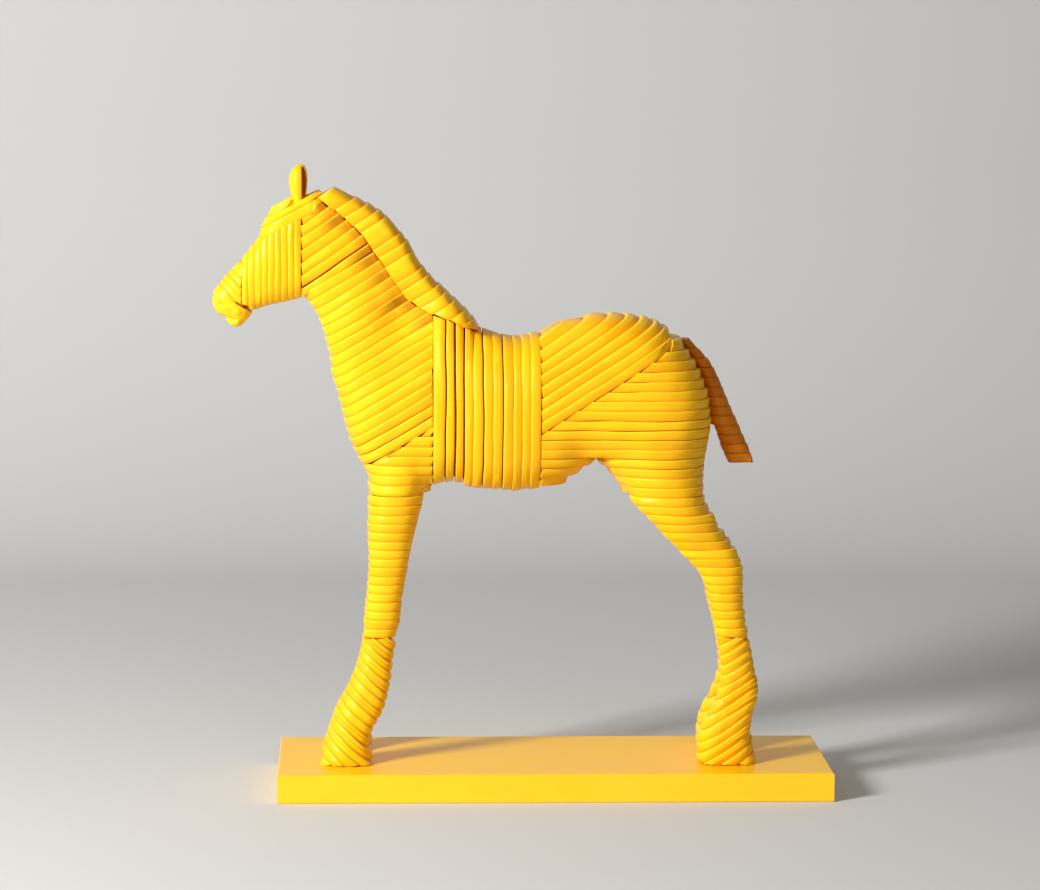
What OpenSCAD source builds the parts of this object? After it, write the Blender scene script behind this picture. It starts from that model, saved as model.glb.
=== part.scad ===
// Ornamental horse on a plinth, clad in flat strips that are laid round shaped cores.
// The origin is the middle of the plinth's underside, the horse faces -X and its left side is -Y.

/* [Plinth] */
// Length of the plinth
plinth_l = 280; // [260:1:340]
// Depth of the plinth, from side to side of the horse
plinth_w = 95; // [80:1:140]
// Thickness of the plinth
plinth_t = 14.6; // [12:0.1:25]
// Chamfer along the plinth's edges
plinth_edge = 0.6; // [0.2:0.1:1.5]

/* [Horse] */
// Length of the horse, from its muzzle to its rear hooves
horse_l = 278; // [256:1:300]
// Height of the horse, from its hooves to its ear tips
horse_h = 303; // [280:1:330]
// How far the horse's middle lies ahead of the plinth's middle
horse_ahead = 34.5; // [25:0.5:44]
// Distance between the left and the right legs, centre to centre
stance = 36; // [34:0.5:42]
// How far the right hind hoof stands behind the left one
hind_offset = 3; // [0:0.5:6]

/* [Widths of the body] */
// Width of the muzzle
muzzle_w = 18; // [14:0.5:24]
// Width across the cheeks
cheek_w = 31; // [26:0.5:38]
// Width of the poll, between the ears
poll_w = 27; // [24:0.5:34]
// Width of the throat
throat_w = 29; // [24:0.5:36]
// Width of the neck halfway down
neck_w = 39; // [34:0.5:46]
// Width of the neck where it meets the mane
nape_w = 26; // [24:0.5:32]
// Width of the crest under the mane
crest_w = 25; // [23:0.5:32]
// Width of the chest
chest_w = 54; // [48:0.5:62]
// Width of the barrel
barrel_w = 60; // [54:0.5:70]
// Width of the haunches
haunch_w = 62; // [56:0.5:72]

/* [Widths of the legs and the tail] */
// Width of a foreleg at the top
arm_w = 23; // [19:0.5:28]
// Width of a knee
knee_w = 16; // [13:0.5:20]
// Width of a hind leg at the top
thigh_w = 26; // [21:0.5:31]
// Width of a hock
hock_w = 17; // [14:0.5:21]
// Width of a cannon
cannon_w = 14; // [12:0.5:18]
// Width of a hoof
hoof_w = 22; // [18:0.5:28]
// Width of the tail at its middle
tail_w = 17; // [13:0.5:22]
// Width of the tail at its end
tail_end_w = 13; // [10:0.5:18]

/* [Strips] */
// Width of a strip on the body, with the gap beside it
body_pitch = 4.9; // [4:0.1:7]
// Width of a strip on a leg, with the gap beside it
leg_pitch = 4.6; // [3.8:0.1:6]
// Width of a strip on the head, with the gap beside it
head_pitch = 3.4; // [2.8:0.1:5]
// Thickness of a strip
strip_t = 1.6; // [1:0.1:2]
// Gap between neighbouring strips
strip_gap = 0.5; // [0.3:0.1:0.9]
// Gap along the seams where one family of strips meets another
seam_gap = 0.5; // [0.3:0.1:0.9]
// Thickness of a mane strip
mane_t = 3; // [2.2:0.1:3.6]
// How far the mane stands proud of the neck
mane_rise = 1.4; // [0.6:0.1:2]
// Gap between a strip and the core under it
glue_gap = 0.2; // [0.1:0.05:0.3]

/* [Ears] */
// Outer radius of the cupped ear
ear_r = 4.2; // [3.4:0.1:5.5]
// Thickness of an ear
ear_t = 1.1; // [0.8:0.1:1.6]
// How far an ear stands out from the middle of the head
ear_out = 6.6; // [5:0.1:8]
// How far the ear's open side is turned outward from the rear
ear_turn = 38; // [0:1:80]
// Diameter of the peg under an ear
ear_peg_d = 2.6; // [2:0.1:3.2]
// Length of the peg under an ear
ear_peg_l = 6; // [4:0.5:9]

/* [Dowels] */
// Diameter of the dowel in each foot
foot_dowel_d = 5; // [3:0.5:6]
// Length of the dowel in each foot
foot_dowel_l = 26; // [20:1:32]
// Depth of the foot dowel's hole in the plinth
foot_dowel_depth = 9; // [6:0.5:10]
// Diameter of the dowel between a leg and the trunk
leg_dowel_d = 6; // [4:0.5:7]
// Length of the dowel between a leg and the trunk
leg_dowel_l = 26; // [18:1:30]
// Diameter of the dowel between the neck and the trunk
neck_dowel_d = 8; // [6:0.5:10]
// Length of the dowel between the neck and the trunk
neck_dowel_l = 36; // [26:1:40]
// Diameter of the dowel between the head and the neck
head_dowel_d = 6; // [4:0.5:8]
// Length of the dowel between the head and the neck
head_dowel_l = 24; // [18:1:28]
// Diameter of the dowel between the muzzle and the head
muzzle_dowel_d = 4; // [3:0.5:5]
// Length of the dowel between the muzzle and the head
muzzle_dowel_l = 14; // [10:1:16]
// Diameter of the dowel between the tail and the trunk
tail_dowel_d = 3; // [2:0.25:3.5]
// Length of the dowel between the tail and the trunk
tail_dowel_l = 14; // [10:1:18]
// Clearance round a dowel and at the ends of its hole
dowel_gap = 0.1; // [0.05:0.05:0.3]

/* [Hidden] */

// The sides of the horse, as signs along Y
left = -1;
right = 1;
// Overrun of every cut past the surface that it cuts
overrun = 6;
// Anything shorter than this is nothing at all
tiny = 0.001;
// Shortest stretch of a strip or core step that is worth cutting out
shortest_share = 5;
shortest = shortest_share * strip_gap;
// Lap of neighbouring core steps, small enough to stay inside the gaps between the strips
core_lap = min(strip_gap, seam_gap) / 4;
// Steps along each side of a section
steps = 8;
// How far the body's widths blend into each other
blend = 14;
// How a section is rounded: an exponent, where 2 is an ellipse and more is squarer, and how far
// from its rim it reaches its full width, as a share of its half width
body_rounding_share = [2.8, 1.15];
mane_rounding_share = [4, 0.6];
limb_rounding_share = [2.3, 1.2];
// Sides of the turned pieces
fine = 48;

// Half of the horse's length, as a share of its length
mid_share = 0.5;

// A place in the side view, from its shares of the horse's length and height
function place(share) =
    [(share[0] - mid_share) * horse_l - horse_ahead, plinth_t + share[1] * horse_h];
function places(shares) = [for (share = shares) place(share)];

// The side view's outline, from the poll round the head, chest, belly, rump and crest
head_shares = [
    [0.185, 0.955], [0.149, 0.947], [0.128, 0.939], [0.106, 0.922], [0.092, 0.902], [0.081, 0.876],
    [0.063, 0.853], [0.041, 0.830], [0.020, 0.810], [0.007, 0.790], [0.001, 0.772], [0.007, 0.754],
    [0.023, 0.742], [0.041, 0.729], [0.058, 0.734], [0.068, 0.750], [0.088, 0.762], [0.121, 0.769],
    [0.169, 0.780]
];
chest_shares = [
    [0.189, 0.757], [0.203, 0.724], [0.214, 0.684], [0.218, 0.651], [0.230, 0.618], [0.241, 0.572],
    [0.254, 0.533], [0.273, 0.501], [0.284, 0.480], [0.284, 0.364], [0.360, 0.364], [0.385, 0.450]
];
belly_shares = [
    [0.401, 0.465], [0.437, 0.472], [0.480, 0.460], [0.552, 0.456], [0.595, 0.461], [0.646, 0.477],
    [0.674, 0.493], [0.700, 0.510], [0.725, 0.490], [0.750, 0.457], [0.790, 0.417], [0.840, 0.368]
];
rump_shares = [
    [0.941, 0.371], [0.915, 0.420], [0.899, 0.453], [0.897, 0.480], [0.899, 0.513], [0.906, 0.543],
    [0.910, 0.572], [0.908, 0.595], [0.903, 0.622], [0.892, 0.650], [0.876, 0.680], [0.854, 0.706],
    [0.833, 0.727]
];
back_shares = [
    [0.804, 0.744], [0.761, 0.751], [0.714, 0.754], [0.667, 0.746], [0.624, 0.731], [0.588, 0.719],
    [0.545, 0.713], [0.487, 0.729]
];
crest_shares = [
    [0.462, 0.760], [0.433, 0.783], [0.397, 0.812], [0.372, 0.840], [0.354, 0.873], [0.333, 0.897],
    [0.308, 0.920], [0.275, 0.940], [0.239, 0.952]
];
body_rim = places(
    concat(head_shares, chest_shares, belly_shares, rump_shares, back_shares, crest_shares)
);

// Places where the body has a given width
width_shares = [
    [0.020, 0.764], [0.059, 0.800], [0.117, 0.836], [0.167, 0.912], [0.221, 0.820], [0.278, 0.760],
    [0.260, 0.900], [0.305, 0.842], [0.354, 0.779], [0.437, 0.744], [0.344, 0.876], [0.322, 0.533],
    [0.415, 0.595], [0.498, 0.585], [0.624, 0.595], [0.761, 0.572], [0.854, 0.562]
];
width_values = [
    muzzle_w, (muzzle_w + cheek_w) / 2, cheek_w, poll_w, throat_w, neck_w,
    nape_w, nape_w, nape_w, (nape_w + barrel_w) / 2, crest_w, chest_w,
    (chest_w + barrel_w) / 2, barrel_w, barrel_w, haunch_w, haunch_w
];

// The legs' outlines, from the top of the front down to the hoof and up the back
foreleg_shares = [
    [0.286, 0.513], [0.284, 0.453], [0.281, 0.434], [0.284, 0.407], [0.282, 0.381], [0.286, 0.348],
    [0.285, 0.308], [0.282, 0.275], [0.277, 0.236], [0.275, 0.199], [0.268, 0.163], [0.257, 0.133],
    [0.243, 0.104], [0.227, 0.079], [0.216, 0.054], [0.207, 0.028], [0.196, 0.000], [0.189, -0.022],
    [0.304, -0.022], [0.295, 0.000], [0.287, 0.024], [0.285, 0.044], [0.293, 0.064], [0.309, 0.087],
    [0.318, 0.114], [0.324, 0.143], [0.329, 0.183], [0.335, 0.216], [0.342, 0.249], [0.345, 0.282],
    [0.353, 0.321], [0.363, 0.368], [0.372, 0.404], [0.379, 0.434], [0.385, 0.453], [0.401, 0.513]
];
hindleg_shares = [
    [0.725, 0.490], [0.754, 0.455], [0.772, 0.434], [0.795, 0.414], [0.811, 0.396], [0.840, 0.369],
    [0.865, 0.346], [0.887, 0.323], [0.901, 0.298], [0.908, 0.269], [0.915, 0.236], [0.924, 0.203],
    [0.929, 0.170], [0.930, 0.143], [0.923, 0.117], [0.912, 0.095], [0.897, 0.071], [0.888, 0.044],
    [0.887, 0.024], [0.888, 0.000], [0.890, -0.022], [1.003, -0.022], [0.997, 0.000], [0.989, 0.024],
    [0.983, 0.044], [0.985, 0.071], [0.991, 0.090], [0.998, 0.114], [0.996, 0.140], [0.988, 0.160],
    [0.987, 0.176], [0.980, 0.206], [0.973, 0.239], [0.968, 0.269], [0.967, 0.295], [0.968, 0.325],
    [0.962, 0.348], [0.948, 0.368], [0.933, 0.381], [0.921, 0.397], [0.915, 0.419], [0.901, 0.434],
    [0.897, 0.453], [0.897, 0.490]
];
// Places where the legs have a given width, from the top down
foreleg_width_shares = [[0.335, 0.453], [0.319, 0.282], [0.305, 0.200], [0.270, 0.090], [0.245, 0]];
foreleg_width_values = [arm_w, knee_w, cannon_w, cannon_w, hoof_w];
hindleg_width_shares = [[0.826, 0.453], [0.928, 0.340], [0.945, 0.240], [0.960, 0.130], [0.940, 0]];
hindleg_width_values = [thigh_w, hock_w, cannon_w, cannon_w, hoof_w];

// The tail's outline, from its root down its rear side and up its front side
tail_shares = [
    [0.836, 0.737], [0.851, 0.721], [0.869, 0.710], [0.890, 0.693], [0.908, 0.673], [0.923, 0.648],
    [0.937, 0.618], [0.951, 0.587], [0.966, 0.559], [0.978, 0.533], [0.989, 0.511], [0.986, 0.508],
    [0.941, 0.508], [0.930, 0.529], [0.919, 0.559], [0.913, 0.579], [0.911, 0.600], [0.905, 0.625],
    [0.894, 0.654], [0.878, 0.684], [0.856, 0.709], [0.834, 0.730]
];
tail_width_shares = [[0.860, 0.710], [0.920, 0.620], [0.965, 0.515]];
tail_width_values = [tail_end_w, tail_w, tail_end_w];

// A body: its outline, the places where its width is known, the widths there and its rounding
body = [body_rim, places(width_shares), width_values, body_rounding_share];
mane = [body_rim, places(width_shares), width_values, mane_rounding_share];
tail = [places(tail_shares), places(tail_width_shares), tail_width_values, limb_rounding_share];
foreleg = [
    places(foreleg_shares), places(foreleg_width_shares), foreleg_width_values, limb_rounding_share
];
function hindleg(side) = [
    stepped(places(hindleg_shares), side), stepped(places(hindleg_width_shares), side),
    hindleg_width_values, limb_rounding_share
];
// The right hind leg leans back below its top, by a whole step at the hoof
function stepped(points, side) = side == left ? points : [for (p = points) p + [step_at(p[1]), 0]];
function step_at(z) = hind_offset * (place([0, legs_top_share])[1] - z) / (legs_top_share * horse_h);

// Seams between the families of strips, as shares of the horse's length or height
face_rear_share = 0.163;
face_front_share = 0.056;
girth_front_share = 0.401;
girth_rear_share = 0.595;
legs_top_share = 0.453;
slant_top_share = 0.216;
// Where the mane ends on the neck, from the poll to the withers
mane_seam_shares = [
    [0.196, 0.942], [0.221, 0.929], [0.246, 0.909], [0.275, 0.883], [0.293, 0.857], [0.318, 0.828],
    [0.336, 0.803], [0.354, 0.779], [0.376, 0.765], [0.401, 0.755], [0.437, 0.744], [0.466, 0.732],
    [0.487, 0.729]
];
// Places in the mane's seam that end the throat, and that begin the girth
throat_end = 4;
withers = 9;
// Where the brow ends on the face, from the forehead to the poll
brow_seam_shares = [[0.063, 0.873], [0.083, 0.881], [0.110, 0.892], [0.138, 0.907], [0.163, 0.919]];
// Low end of the throat's seam, and both ends of the chest's, the croup's and the muzzle's seams
throat_seam_shares = [face_rear_share, 0.776];
chest_seam_shares = [[face_rear_share, 0.439], [girth_front_share, 0.571]];
croup_seam_shares = [[girth_rear_share, 0.559], [0.831, 0.699], [0.836, 0.737]];
muzzle_seam_shares = [[0.076, 0.754], [-0.009, 0.802]];
// Bounds of the side view, just outside the horse
low_share = -0.05;
high_share = 1.05;
front_share = -0.05;
rear_share = 1.05;
// Bounds of the lower legs and of the tail, just outside them
foreleg_bounds_share = [0.17, 0.37];
hindleg_bounds_share = [0.86, 1.05];
tail_front_share = 0.8;

// Cuts between the girth strips, from front to rear
girth_cut_shares = [0, 0.115, 0.204, 0.287, 0.37, 0.463, 0.556, 0.648, 0.741, 0.824, 0.907, 1];
// Cuts between the mane strips, from the withers to the poll
mane_cut_shares = [0, 0.07, 0.13, 0.2, 0.26, 0.31, 0.38, 0.43, 0.53, 0.59, 0.64, 0.75, 0.8, 0.86, 0.92, 1];

// Slopes of the strips in the side view
upright = 90;
level = 0;
brow_slope = 28;
nose_slope = -45;
throat_slope = atan2(
    (mane_seam_shares[throat_end][1] - throat_seam_shares[1]) * horse_h,
    (mane_seam_shares[throat_end][0] - throat_seam_shares[0]) * horse_l
);
neck_slope = atan2(
    (chest_seam_shares[1][1] - chest_seam_shares[0][1]) * horse_h,
    (chest_seam_shares[1][0] - chest_seam_shares[0][0]) * horse_l
);
croup_slope = atan2(
    (croup_seam_shares[1][1] - croup_seam_shares[0][1]) * horse_h,
    (croup_seam_shares[1][0] - croup_seam_shares[0][0]) * horse_l
);
forecannon_slope = -41;
hindcannon_slope = 32;

// Part of a list, from one place in it to another
function part(list, from, to) = [for (i = [from : to]) list[i]];
function backward(list) = [for (i = [len(list) - 1 : -1 : 0]) list[i]];
last = len(mane_seam_shares) - 1;
// The place on the muzzle's seam at a share of the horse's length
function on_muzzle_seam(share) = [share, lookup(share, backward(muzzle_seam_shares))];

// Regions of the side view, each clad in one family of strips
face_region = places(concat(
    [muzzle_seam_shares[0], [muzzle_seam_shares[0][0], low_share], [face_rear_share, low_share]],
    backward(brow_seam_shares),
    [[face_front_share, brow_seam_shares[0][1]], on_muzzle_seam(face_front_share)]
));
nose_region = places([
    [face_front_share, brow_seam_shares[0][1]], [front_share, brow_seam_shares[0][1]],
    [front_share, muzzle_seam_shares[1][1]], muzzle_seam_shares[1], on_muzzle_seam(face_front_share)
]);
muzzle_region = places(concat(
    [[muzzle_seam_shares[0][0], low_share]],
    muzzle_seam_shares,
    [[front_share, muzzle_seam_shares[1][1]], [front_share, low_share]]
));
brow_region = places(concat(
    brow_seam_shares,
    [mane_seam_shares[0], [mane_seam_shares[0][0], high_share], [front_share, high_share]],
    [[front_share, brow_seam_shares[0][1]]]
));
throat_region = places(concat(
    [throat_seam_shares],
    backward(part(mane_seam_shares, 0, throat_end)),
    [brow_seam_shares[4]]
));
neck_region = places(concat(
    chest_seam_shares,
    backward(part(mane_seam_shares, throat_end, withers)),
    [throat_seam_shares]
));
mane_region = places(concat(
    mane_seam_shares,
    [[mane_seam_shares[last][0], high_share], [mane_seam_shares[0][0], high_share]]
));
shoulder_region = places([
    [face_rear_share, legs_top_share], [girth_front_share, legs_top_share],
    chest_seam_shares[1], chest_seam_shares[0]
]);
girth_region = places(concat(
    [[girth_front_share, low_share], [girth_rear_share, low_share], [girth_rear_share, high_share]],
    [[mane_seam_shares[last][0], high_share]],
    backward(part(mane_seam_shares, withers, last))
));
croup_region = places(concat(
    croup_seam_shares,
    [[croup_seam_shares[2][0], high_share], [girth_rear_share, high_share]]
));
haunch_region = places(concat(
    [[girth_rear_share, legs_top_share], [rear_share, legs_top_share], [rear_share, high_share]],
    [[croup_seam_shares[2][0], high_share]],
    backward(croup_seam_shares)
));
upper_leg_region = places([
    [front_share, slant_top_share], [rear_share, slant_top_share],
    [rear_share, legs_top_share], [front_share, legs_top_share]
]);
function lower_leg_region(bounds) = places([
    [bounds[0], 0], [bounds[1], 0], [bounds[1], slant_top_share], [bounds[0], slant_top_share]
]);
lower_foreleg_region = lower_leg_region(foreleg_bounds_share);
lower_hindleg_region = lower_leg_region(hindleg_bounds_share);
tail_region = places([
    [tail_front_share, low_share], [rear_share, low_share],
    [rear_share, high_share], [tail_front_share, high_share]
]);

// How far a point lies across a slope, and along it
function across(p, slope) = p[1] * cos(slope) - p[0] * sin(slope);
function along(p, slope) = p[0] * cos(slope) + p[1] * sin(slope);
// The point that lies so far along and across a slope
function back(u, w, slope) =
    [u * cos(slope) - w * sin(slope), u * sin(slope) + w * cos(slope)];

function unit(v) = v / norm(v);
function sum(list) = list * [for (item = list) 1];
function sorted(list) = len(list) < 2 ? list : let (
    first = list[0],
    rest = part(list, 1, len(list) - 1)
) concat(
    sorted([for (item = rest) if (item < first) item]),
    [first],
    sorted([for (item = rest) if (item >= first) item])
);

// Twice the area inside an outline, below zero where the outline runs clockwise
function turning(rim) = sum([
    for (i = [0 : len(rim) - 1])
        let (a = rim[i], b = rim[(i + 1) % len(rim)])
        a[0] * b[1] - a[1] * b[0]
]);
// The outline moved inward by a distance
function inset(rim, distance) = let (count = len(rim), way = sign(turning(rim))) [
    for (i = [0 : count - 1])
        let (
            before = unit(rim[i] - rim[(i + count - 1) % count]),
            after = unit(rim[(i + 1) % count] - rim[i]),
            lean = [-before[1] - after[1], before[0] + after[0]]
        )
        rim[i] + lean * way * distance / (1 + before * after)
];

// Distance of a point from one edge, and from the whole outline
function edge_distance(p, a, b) =
    let (edge = b - a, t = (p - a) * edge / (edge * edge))
    norm(p - a - edge * min(1, max(0, t)));
function rim_distance(p, rim) =
    min([for (i = [0 : len(rim) - 1]) edge_distance(p, rim[i], rim[(i + 1) % len(rim)])]);

// A body's width at a point, blended from the places where it is known
function width_at(p, shape) =
    let (pulls = [for (spot = shape[1]) 1 / pow(norm(p - spot) ^ 2 + blend ^ 2, 2)])
    pulls * shape[2] / sum(pulls);
// Half of a body's thickness at a point, rounded toward its outline
function half_at(p, shape, rim, rise) =
    let (
        half = width_at(p, shape) / 2 + rise,
        fullness = shape[3][0],
        depth = rim_distance(p, rim) / (half * shape[3][1])
    )
    half * pow(1 - pow(1 - min(1, depth), fullness), 1 / fullness);

// Where an outline crosses the line that lies at w across the slope
function crossings(rim, w, slope) = [
    for (i = [0 : len(rim) - 1])
        let (
            a = rim[i],
            b = rim[(i + 1) % len(rim)],
            wa = across(a, slope) - w,
            wb = across(b, slope) - w
        )
        if (wa * wb < 0) along(a, slope) + (along(b, slope) - along(a, slope)) * wa / (wa - wb)
];
// Stretches of that line inside the outline, cut off where they overrun the ends
function stretches(rim, ends, w, slope, past) =
    let (hits = sorted(crossings(rim, w, slope)))
    [
        for (i = [0 : 2 : len(hits) - 2])
            if (min(hits[i + 1], ends[1]) - max(hits[i], ends[0]) > shortest)
                [max(hits[i], ends[0] - past), min(hits[i + 1], ends[1] + past)]
    ];
// Stretches that two lists of them share, and that a whole row of lists shares
function shared(some, others) = [
    for (one = some)
        for (other = others)
            let (both = [max(one[0], other[0]), min(one[1], other[1])])
            if (both[1] - both[0] > shortest) both
];
function shared_by_all(row, i = 0) =
    i == len(row) - 1 ? row[i] : shared(row[i], shared_by_all(row, i + 1));

// The part of a body that its sections on all of the lines at ws share, between a region's sides.
// Its rim is inset, and its sides are raised by rise.
module sections(shape, region, ws, slope, inset_by, rise, past) {
    rim = inset(shape[0], inset_by);
    sides = crossings(region, ws[0], slope);
    if (len(sides) > 1)
        for (stretch = shared_by_all([
            for (w = ws) stretches(rim, [min(sides), max(sides)], w, slope, past)
        ])) {
            side = [
                for (i = [0 : steps])
                    let (
                        u = stretch[0] + (stretch[1] - stretch[0]) * (1 - cos(i * 180 / steps)) / 2,
                        half = min([for (w = ws) half_at(back(u, w, slope), shape, rim, rise)])
                    )
                    [u, half < tiny ? 0 : half]
            ];
            far_side = [for (i = [steps : -1 : 0]) if (side[i][1] > 0) [side[i][0], -side[i][1]]];
            polygon(concat(side, far_side));
        }
}

// Cuts at chosen shares of a span, and evenly across a region at about a pitch
function share_cuts(from, to, shares) = [for (share = shares) from + (to - from) * share];
function span_of(region, slope) =
    let (w = [for (p = region) across(p, slope)])
    [min(w), max(w)];
function even_cuts(region, slope, pitch) =
    let (span = span_of(region, slope), count = round((span[1] - span[0]) / pitch))
    share_cuts(span[0], span[1], [for (i = [0 : count]) i / count]);

// Everything inside a region of the side view
module within(region) {
    rotate([90, 0, 0])
        linear_extrude(height = plinth_w + barrel_w, center = true)
            polygon(region);
}

// Middle of the strip between two cuts, and the middles of it and of its neighbours
function middle(cuts, i) = (cuts[i] + cuts[i + 1]) / 2;
function middles(cuts, i) =
    let (width = cuts[i + 1] - cuts[i])
    [middle(cuts, i), middle(cuts, i) - width, middle(cuts, i) + width];

// A family of strips round a body: each is a flat band that follows the body's section, and
// it is as thick as it takes to lap the strips beside it
module strips(shape, region, slope, cuts, thick = strip_t, rise = 0) {
    intersection() {
        for (i = [0 : len(cuts) - 2])
            rotate([0, -slope, 0])
                translate([0, 0, cuts[i] + strip_gap / 2])
                    linear_extrude(height = cuts[i + 1] - cuts[i] - strip_gap)
                        difference() {
                            sections(shape, region, [middle(cuts, i)], slope, 0, rise, overrun);
                            sections(shape, region, middles(cuts, i), slope,
                                thick, rise - thick, 2 * overrun);
                        }
        within(inset(region, seam_gap / 2));
    }
}

// The stepped core under that family of strips, its steps lapped into one solid
module steps_under(shape, region, slope, cuts, thick = strip_t, rise = 0) {
    under = thick + glue_gap;
    intersection() {
        for (i = [0 : len(cuts) - 2])
            rotate([0, -slope, 0])
                translate([0, 0, cuts[i] - core_lap])
                    linear_extrude(height = cuts[i + 1] - cuts[i] + 2 * core_lap)
                        sections(shape, region, middles(cuts, i), slope,
                            under, rise - under, 2 * overrun);
        within(inset(region, -core_lap));
    }
}

// Cuts of every family
face_cuts = even_cuts(face_region, upright, head_pitch);
nose_cuts = even_cuts(nose_region, nose_slope, head_pitch);
brow_cuts = even_cuts(brow_region, brow_slope, head_pitch);
throat_cuts = even_cuts(throat_region, throat_slope, body_pitch);
neck_cuts = even_cuts(neck_region, neck_slope, body_pitch);
mane_span = span_of(concat(part(mane_region, 0, last), places(crest_shares)), neck_slope);
mane_cuts = share_cuts(mane_span[0], mane_span[1], mane_cut_shares);
shoulder_cuts = even_cuts(shoulder_region, level, body_pitch);
girth_cuts = share_cuts(
    -place([girth_rear_share, 0])[0], -place([girth_front_share, 0])[0],
    [for (share = backward(girth_cut_shares)) 1 - share]
);
croup_cuts = even_cuts(croup_region, croup_slope, body_pitch);
haunch_cuts = even_cuts(haunch_region, level, body_pitch);
upper_leg_cuts = even_cuts(upper_leg_region, level, leg_pitch);
forecannon_cuts = even_cuts(lower_foreleg_region, forecannon_slope, leg_pitch);
hindcannon_cuts = even_cuts(lower_hindleg_region, hindcannon_slope, leg_pitch);
tail_cuts = haunch_cuts;

paint = "gold";
bare_core = "saddlebrown";
bare_dowel = "burlywood";

// A dowel from its middle, along X after a turn upward, with room round it where it is a hole
module dowel(middle, slope, d, l, side = 0, room = 0) {
    translate([middle[0], side, middle[1]])
        rotate([0, 90 - slope, 0])
            cylinder(d = d + 2 * room, h = l + 2 * room, center = true, $fn = fine);
}

foot_dowel_shares = [[0.251, 0], [0.939, 0]];
leg_dowel_shares = [[0.338, legs_top_share], [0.842, legs_top_share]];
neck_dowel_share = [girth_front_share, 0.652];
head_dowel_share = [face_rear_share, 0.850];
muzzle_dowel_share = [0.041, 0.778];
tail_dowel_share = [0.903, 0.628];

module foot_dowels_in(room) {
    for (i = [0, 1])
        for (side = [left, right])
            dowel(place(foot_dowel_shares[i])
                + [i == 1 && side == right ? hind_offset : 0, foot_dowel_l / 2 - foot_dowel_depth],
                upright, foot_dowel_d, foot_dowel_l, side * stance / 2, room);
}
module leg_dowels_in(room) {
    for (share = leg_dowel_shares)
        for (side = [left, right])
            dowel(place(share), upright, leg_dowel_d, leg_dowel_l, side * stance / 2, room);
}
module neck_dowel_in(room) {
    dowel(place(neck_dowel_share), level, neck_dowel_d, neck_dowel_l, 0, room);
}
module head_dowel_in(room) {
    dowel(place(head_dowel_share), level, head_dowel_d, head_dowel_l, 0, room);
}
module muzzle_dowel_in(room) {
    dowel(place(muzzle_dowel_share), -nose_slope, muzzle_dowel_d, muzzle_dowel_l, 0, room);
}
module tail_dowel_in(room) {
    dowel(place(tail_dowel_share), level, tail_dowel_d, tail_dowel_l, 0, room);
}

module foot_dowels() {
    color(bare_dowel) foot_dowels_in(0);
}
module leg_dowels() {
    color(bare_dowel) leg_dowels_in(0);
}
module neck_dowel() {
    color(bare_dowel) neck_dowel_in(0);
}
module head_dowel() {
    color(bare_dowel) head_dowel_in(0);
}
module muzzle_dowel() {
    color(bare_dowel) muzzle_dowel_in(0);
}
module tail_dowel() {
    color(bare_dowel) tail_dowel_in(0);
}

// The plinth is a plain block with softened edges and a blind hole under each foot
module plinth() {
    color(paint) difference() {
        intersection() {
            translate([-plinth_l / 2, -plinth_w / 2, 0])
                cube([plinth_l, plinth_w, plinth_t]);
            chamfered(plinth_l, plinth_w);
            rotate([0, 0, 90])
                chamfered(plinth_w, plinth_l);
        }
        foot_dowels_in(dowel_gap);
    }
}
// A bar of the plinth's section, with its long edges chamfered
module chamfered(l, w) {
    x = w / 2;
    rotate([90, 0, 90])
        linear_extrude(height = l, center = true)
            polygon([
                [plinth_edge - x, 0], [x - plinth_edge, 0], [x, plinth_edge],
                [x, plinth_t - plinth_edge], [x - plinth_edge, plinth_t],
                [plinth_edge - x, plinth_t], [-x, plinth_t - plinth_edge], [-x, plinth_edge]
            ]);
}

// Bounds of the head's, the neck's and a leg's core in the side view
head_bounds = places([
    [front_share, low_share], [face_rear_share, low_share], brow_seam_shares[4],
    mane_seam_shares[0], [mane_seam_shares[0][0], high_share], [front_share, high_share]
]);
neck_bounds = places(concat(
    chest_seam_shares,
    part(mane_seam_shares, withers, last),
    [[mane_seam_shares[last][0], high_share], [mane_seam_shares[0][0], high_share]],
    [mane_seam_shares[0], brow_seam_shares[4]]
));
leg_bounds = places([
    [front_share, 0], [rear_share, 0], [rear_share, legs_top_share], [front_share, legs_top_share]
]);

module head_core() {
    color(bare_core)
        difference() {
            intersection() {
                union() {
                    steps_under(body, face_region, upright, face_cuts);
                    steps_under(body, nose_region, nose_slope, nose_cuts);
                    steps_under(body, brow_region, brow_slope, brow_cuts);
                }
                within(head_bounds);
            }
            head_dowel_in(dowel_gap);
            muzzle_dowel_in(dowel_gap);
            for (side = [left, right])
                ear_peg(side, dowel_gap);
        }
}
module neck_core() {
    color(bare_core)
        difference() {
            intersection() {
                union() {
                    steps_under(body, throat_region, throat_slope, throat_cuts);
                    steps_under(body, neck_region, neck_slope, neck_cuts);
                    steps_under(mane, mane_region, neck_slope, mane_cuts, mane_t, mane_rise);
                }
                within(neck_bounds);
            }
            head_dowel_in(dowel_gap);
            neck_dowel_in(dowel_gap);
        }
}
module trunk_core() {
    color(bare_core)
        difference() {
            union() {
                steps_under(body, shoulder_region, level, shoulder_cuts);
                steps_under(body, girth_region, upright, girth_cuts);
                steps_under(body, croup_region, croup_slope, croup_cuts);
                steps_under(body, haunch_region, level, haunch_cuts);
            }
            within(neck_bounds);
            within(leg_bounds);
            neck_dowel_in(dowel_gap);
            tail_dowel_in(dowel_gap);
            leg_dowels_in(dowel_gap);
        }
}
module tail_core() {
    color(bare_core)
        difference() {
            steps_under(tail, tail_region, level, tail_cuts);
            tail_dowel_in(dowel_gap);
        }
}
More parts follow.
